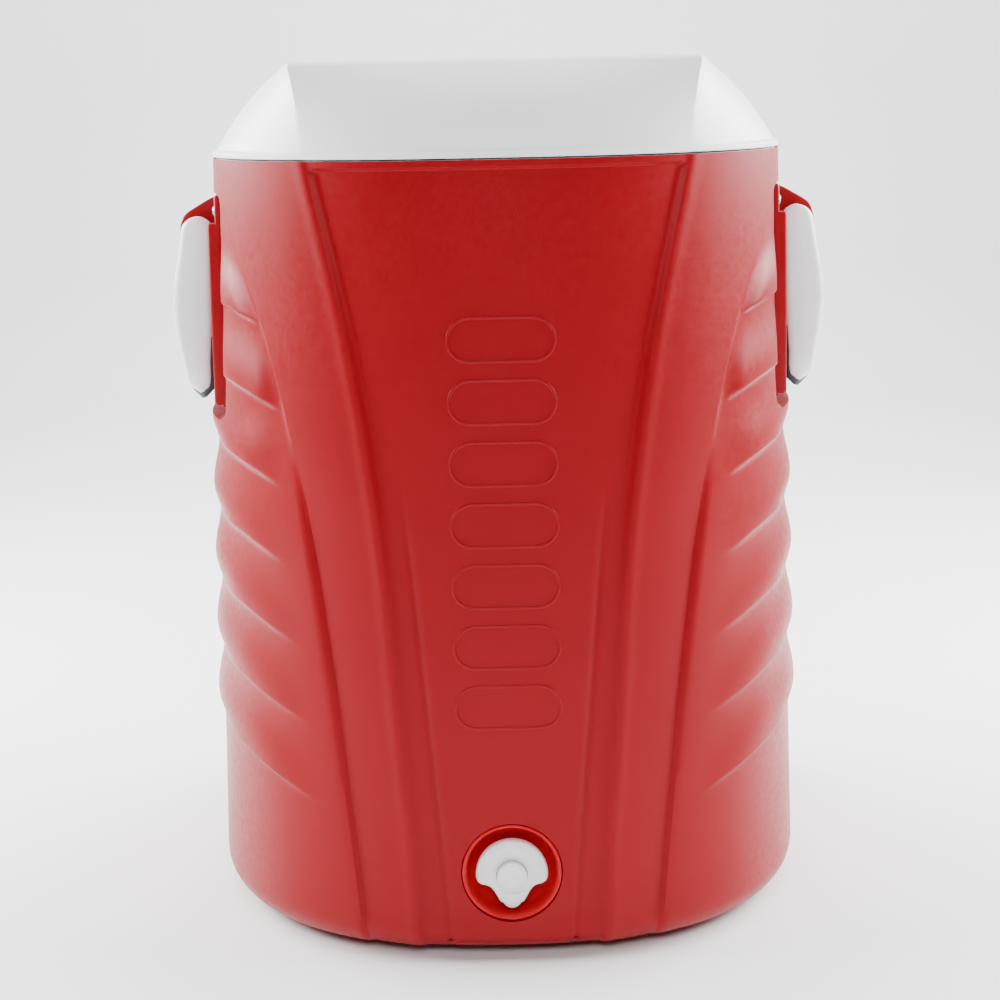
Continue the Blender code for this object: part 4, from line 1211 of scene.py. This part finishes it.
# ---- stage, lights and camera


def make_stage():
    """A pale floor that curves up into a wall behind the object."""
    bm = bmesh.new()
    rows = []
    for y, z in ((-4.5, 0), (0, 0), (1.4, 0), (1.9, 0.05), (2.3, 0.25), (2.5, 0.6), (2.6, 1.2), (2.65, 3.6)):
        rows.append([bm.verts.new((x, y, z)) for x in (-5.0, -2.5, 0, 2.5, 5.0)])
    for low, high in zip(rows, rows[1:]):
        for i in range(4):
            bm.faces.new((low[i], low[i + 1], high[i + 1], high[i]))
    floor = finish_bmesh("studio_floor", bm, 80.0)
    graph = Graph("studio_white")
    graph.fill(graph.shader, {
        "Roughness": graph.spread(graph.noise(3.0), 0.75, 0.85),
        "Base Color": (0.94, 0.94, 0.94, 1.0),
        "Specular IOR Level": 0.1,
    })
    floor.data.materials.append(graph.material)


def make_light(name, place, target, size, power):
    light = bpy.data.lights.new(name, "AREA")
    light.shape = "RECTANGLE"
    light.size, light.size_y = size
    light.energy = power
    obj = link(name, light)
    obj.location = place
    obj.rotation_euler = (Vector(target) - Vector(place)).to_track_quat("-Z", "Y").to_euler()


def make_lights():
    make_light("front_soft", (0.0, -2.6, 1.9), (0, 0, 0.32), (1.2, 0.9), 50)
    make_light("left_box", (-1.3, 0.30, 0.88), (-0.17, -0.06, 0.46), (1.5, 0.6), 78)
    make_light("right_box", (1.3, 0.30, 0.88), (0.17, -0.06, 0.46), (1.5, 0.6), 78)
    make_light("top_soft", (0.0, -0.1, 1.9), (0, 0, 0.5), (1.6, 1.2), 20)
    make_light("backdrop_soft", (0.0, 1.2, 2.6), (0, 2.5, 0.6), (3.4, 0.8), 130)
    world = bpy.data.worlds.new("studio")
    bpy.context.scene.world = world
    world.use_nodes = True
    tree = world.node_tree
    background = tree.nodes["Background"]
    seen = tree.nodes.new("ShaderNodeLightPath").outputs["Is Camera Ray"]
    strength = tree.nodes.new("ShaderNodeMapRange")
    strength.inputs["To Min"].default_value = 0.08
    strength.inputs["To Max"].default_value = 3.0
    tree.links.new(seen, strength.inputs["Value"])
    tree.links.new(strength.outputs["Result"], background.inputs["Strength"])
    background.inputs["Color"].default_value = (1.0, 1.0, 1.0, 1.0)


def make_camera():
    pitch, yaw, roll = (radians(angle) for angle in (8.595, -0.303, -1.194))
    forward = Vector((-sin(yaw) * cos(pitch), cos(yaw) * cos(pitch), -sin(pitch)))
    right = Vector((cos(yaw), sin(yaw), 0))
    above = right.cross(forward)
    tilted_right = right * cos(roll) + above * sin(roll)
    tilted_up = above * cos(roll) - right * sin(roll)
    camera = bpy.data.cameras.new("camera")
    camera.lens = 72.75
    camera.sensor_width = 36
    camera.shift_y = -0.10
    obj = link("camera", camera)
    place = Matrix((tilted_right, tilted_up, -forward)).transposed().to_4x4()
    place.translation = Vector((-0.0083, -1.512, 0.580))
    obj.matrix_world = place
    bpy.context.scene.camera = obj


make_stage()
make_lights()
make_camera()
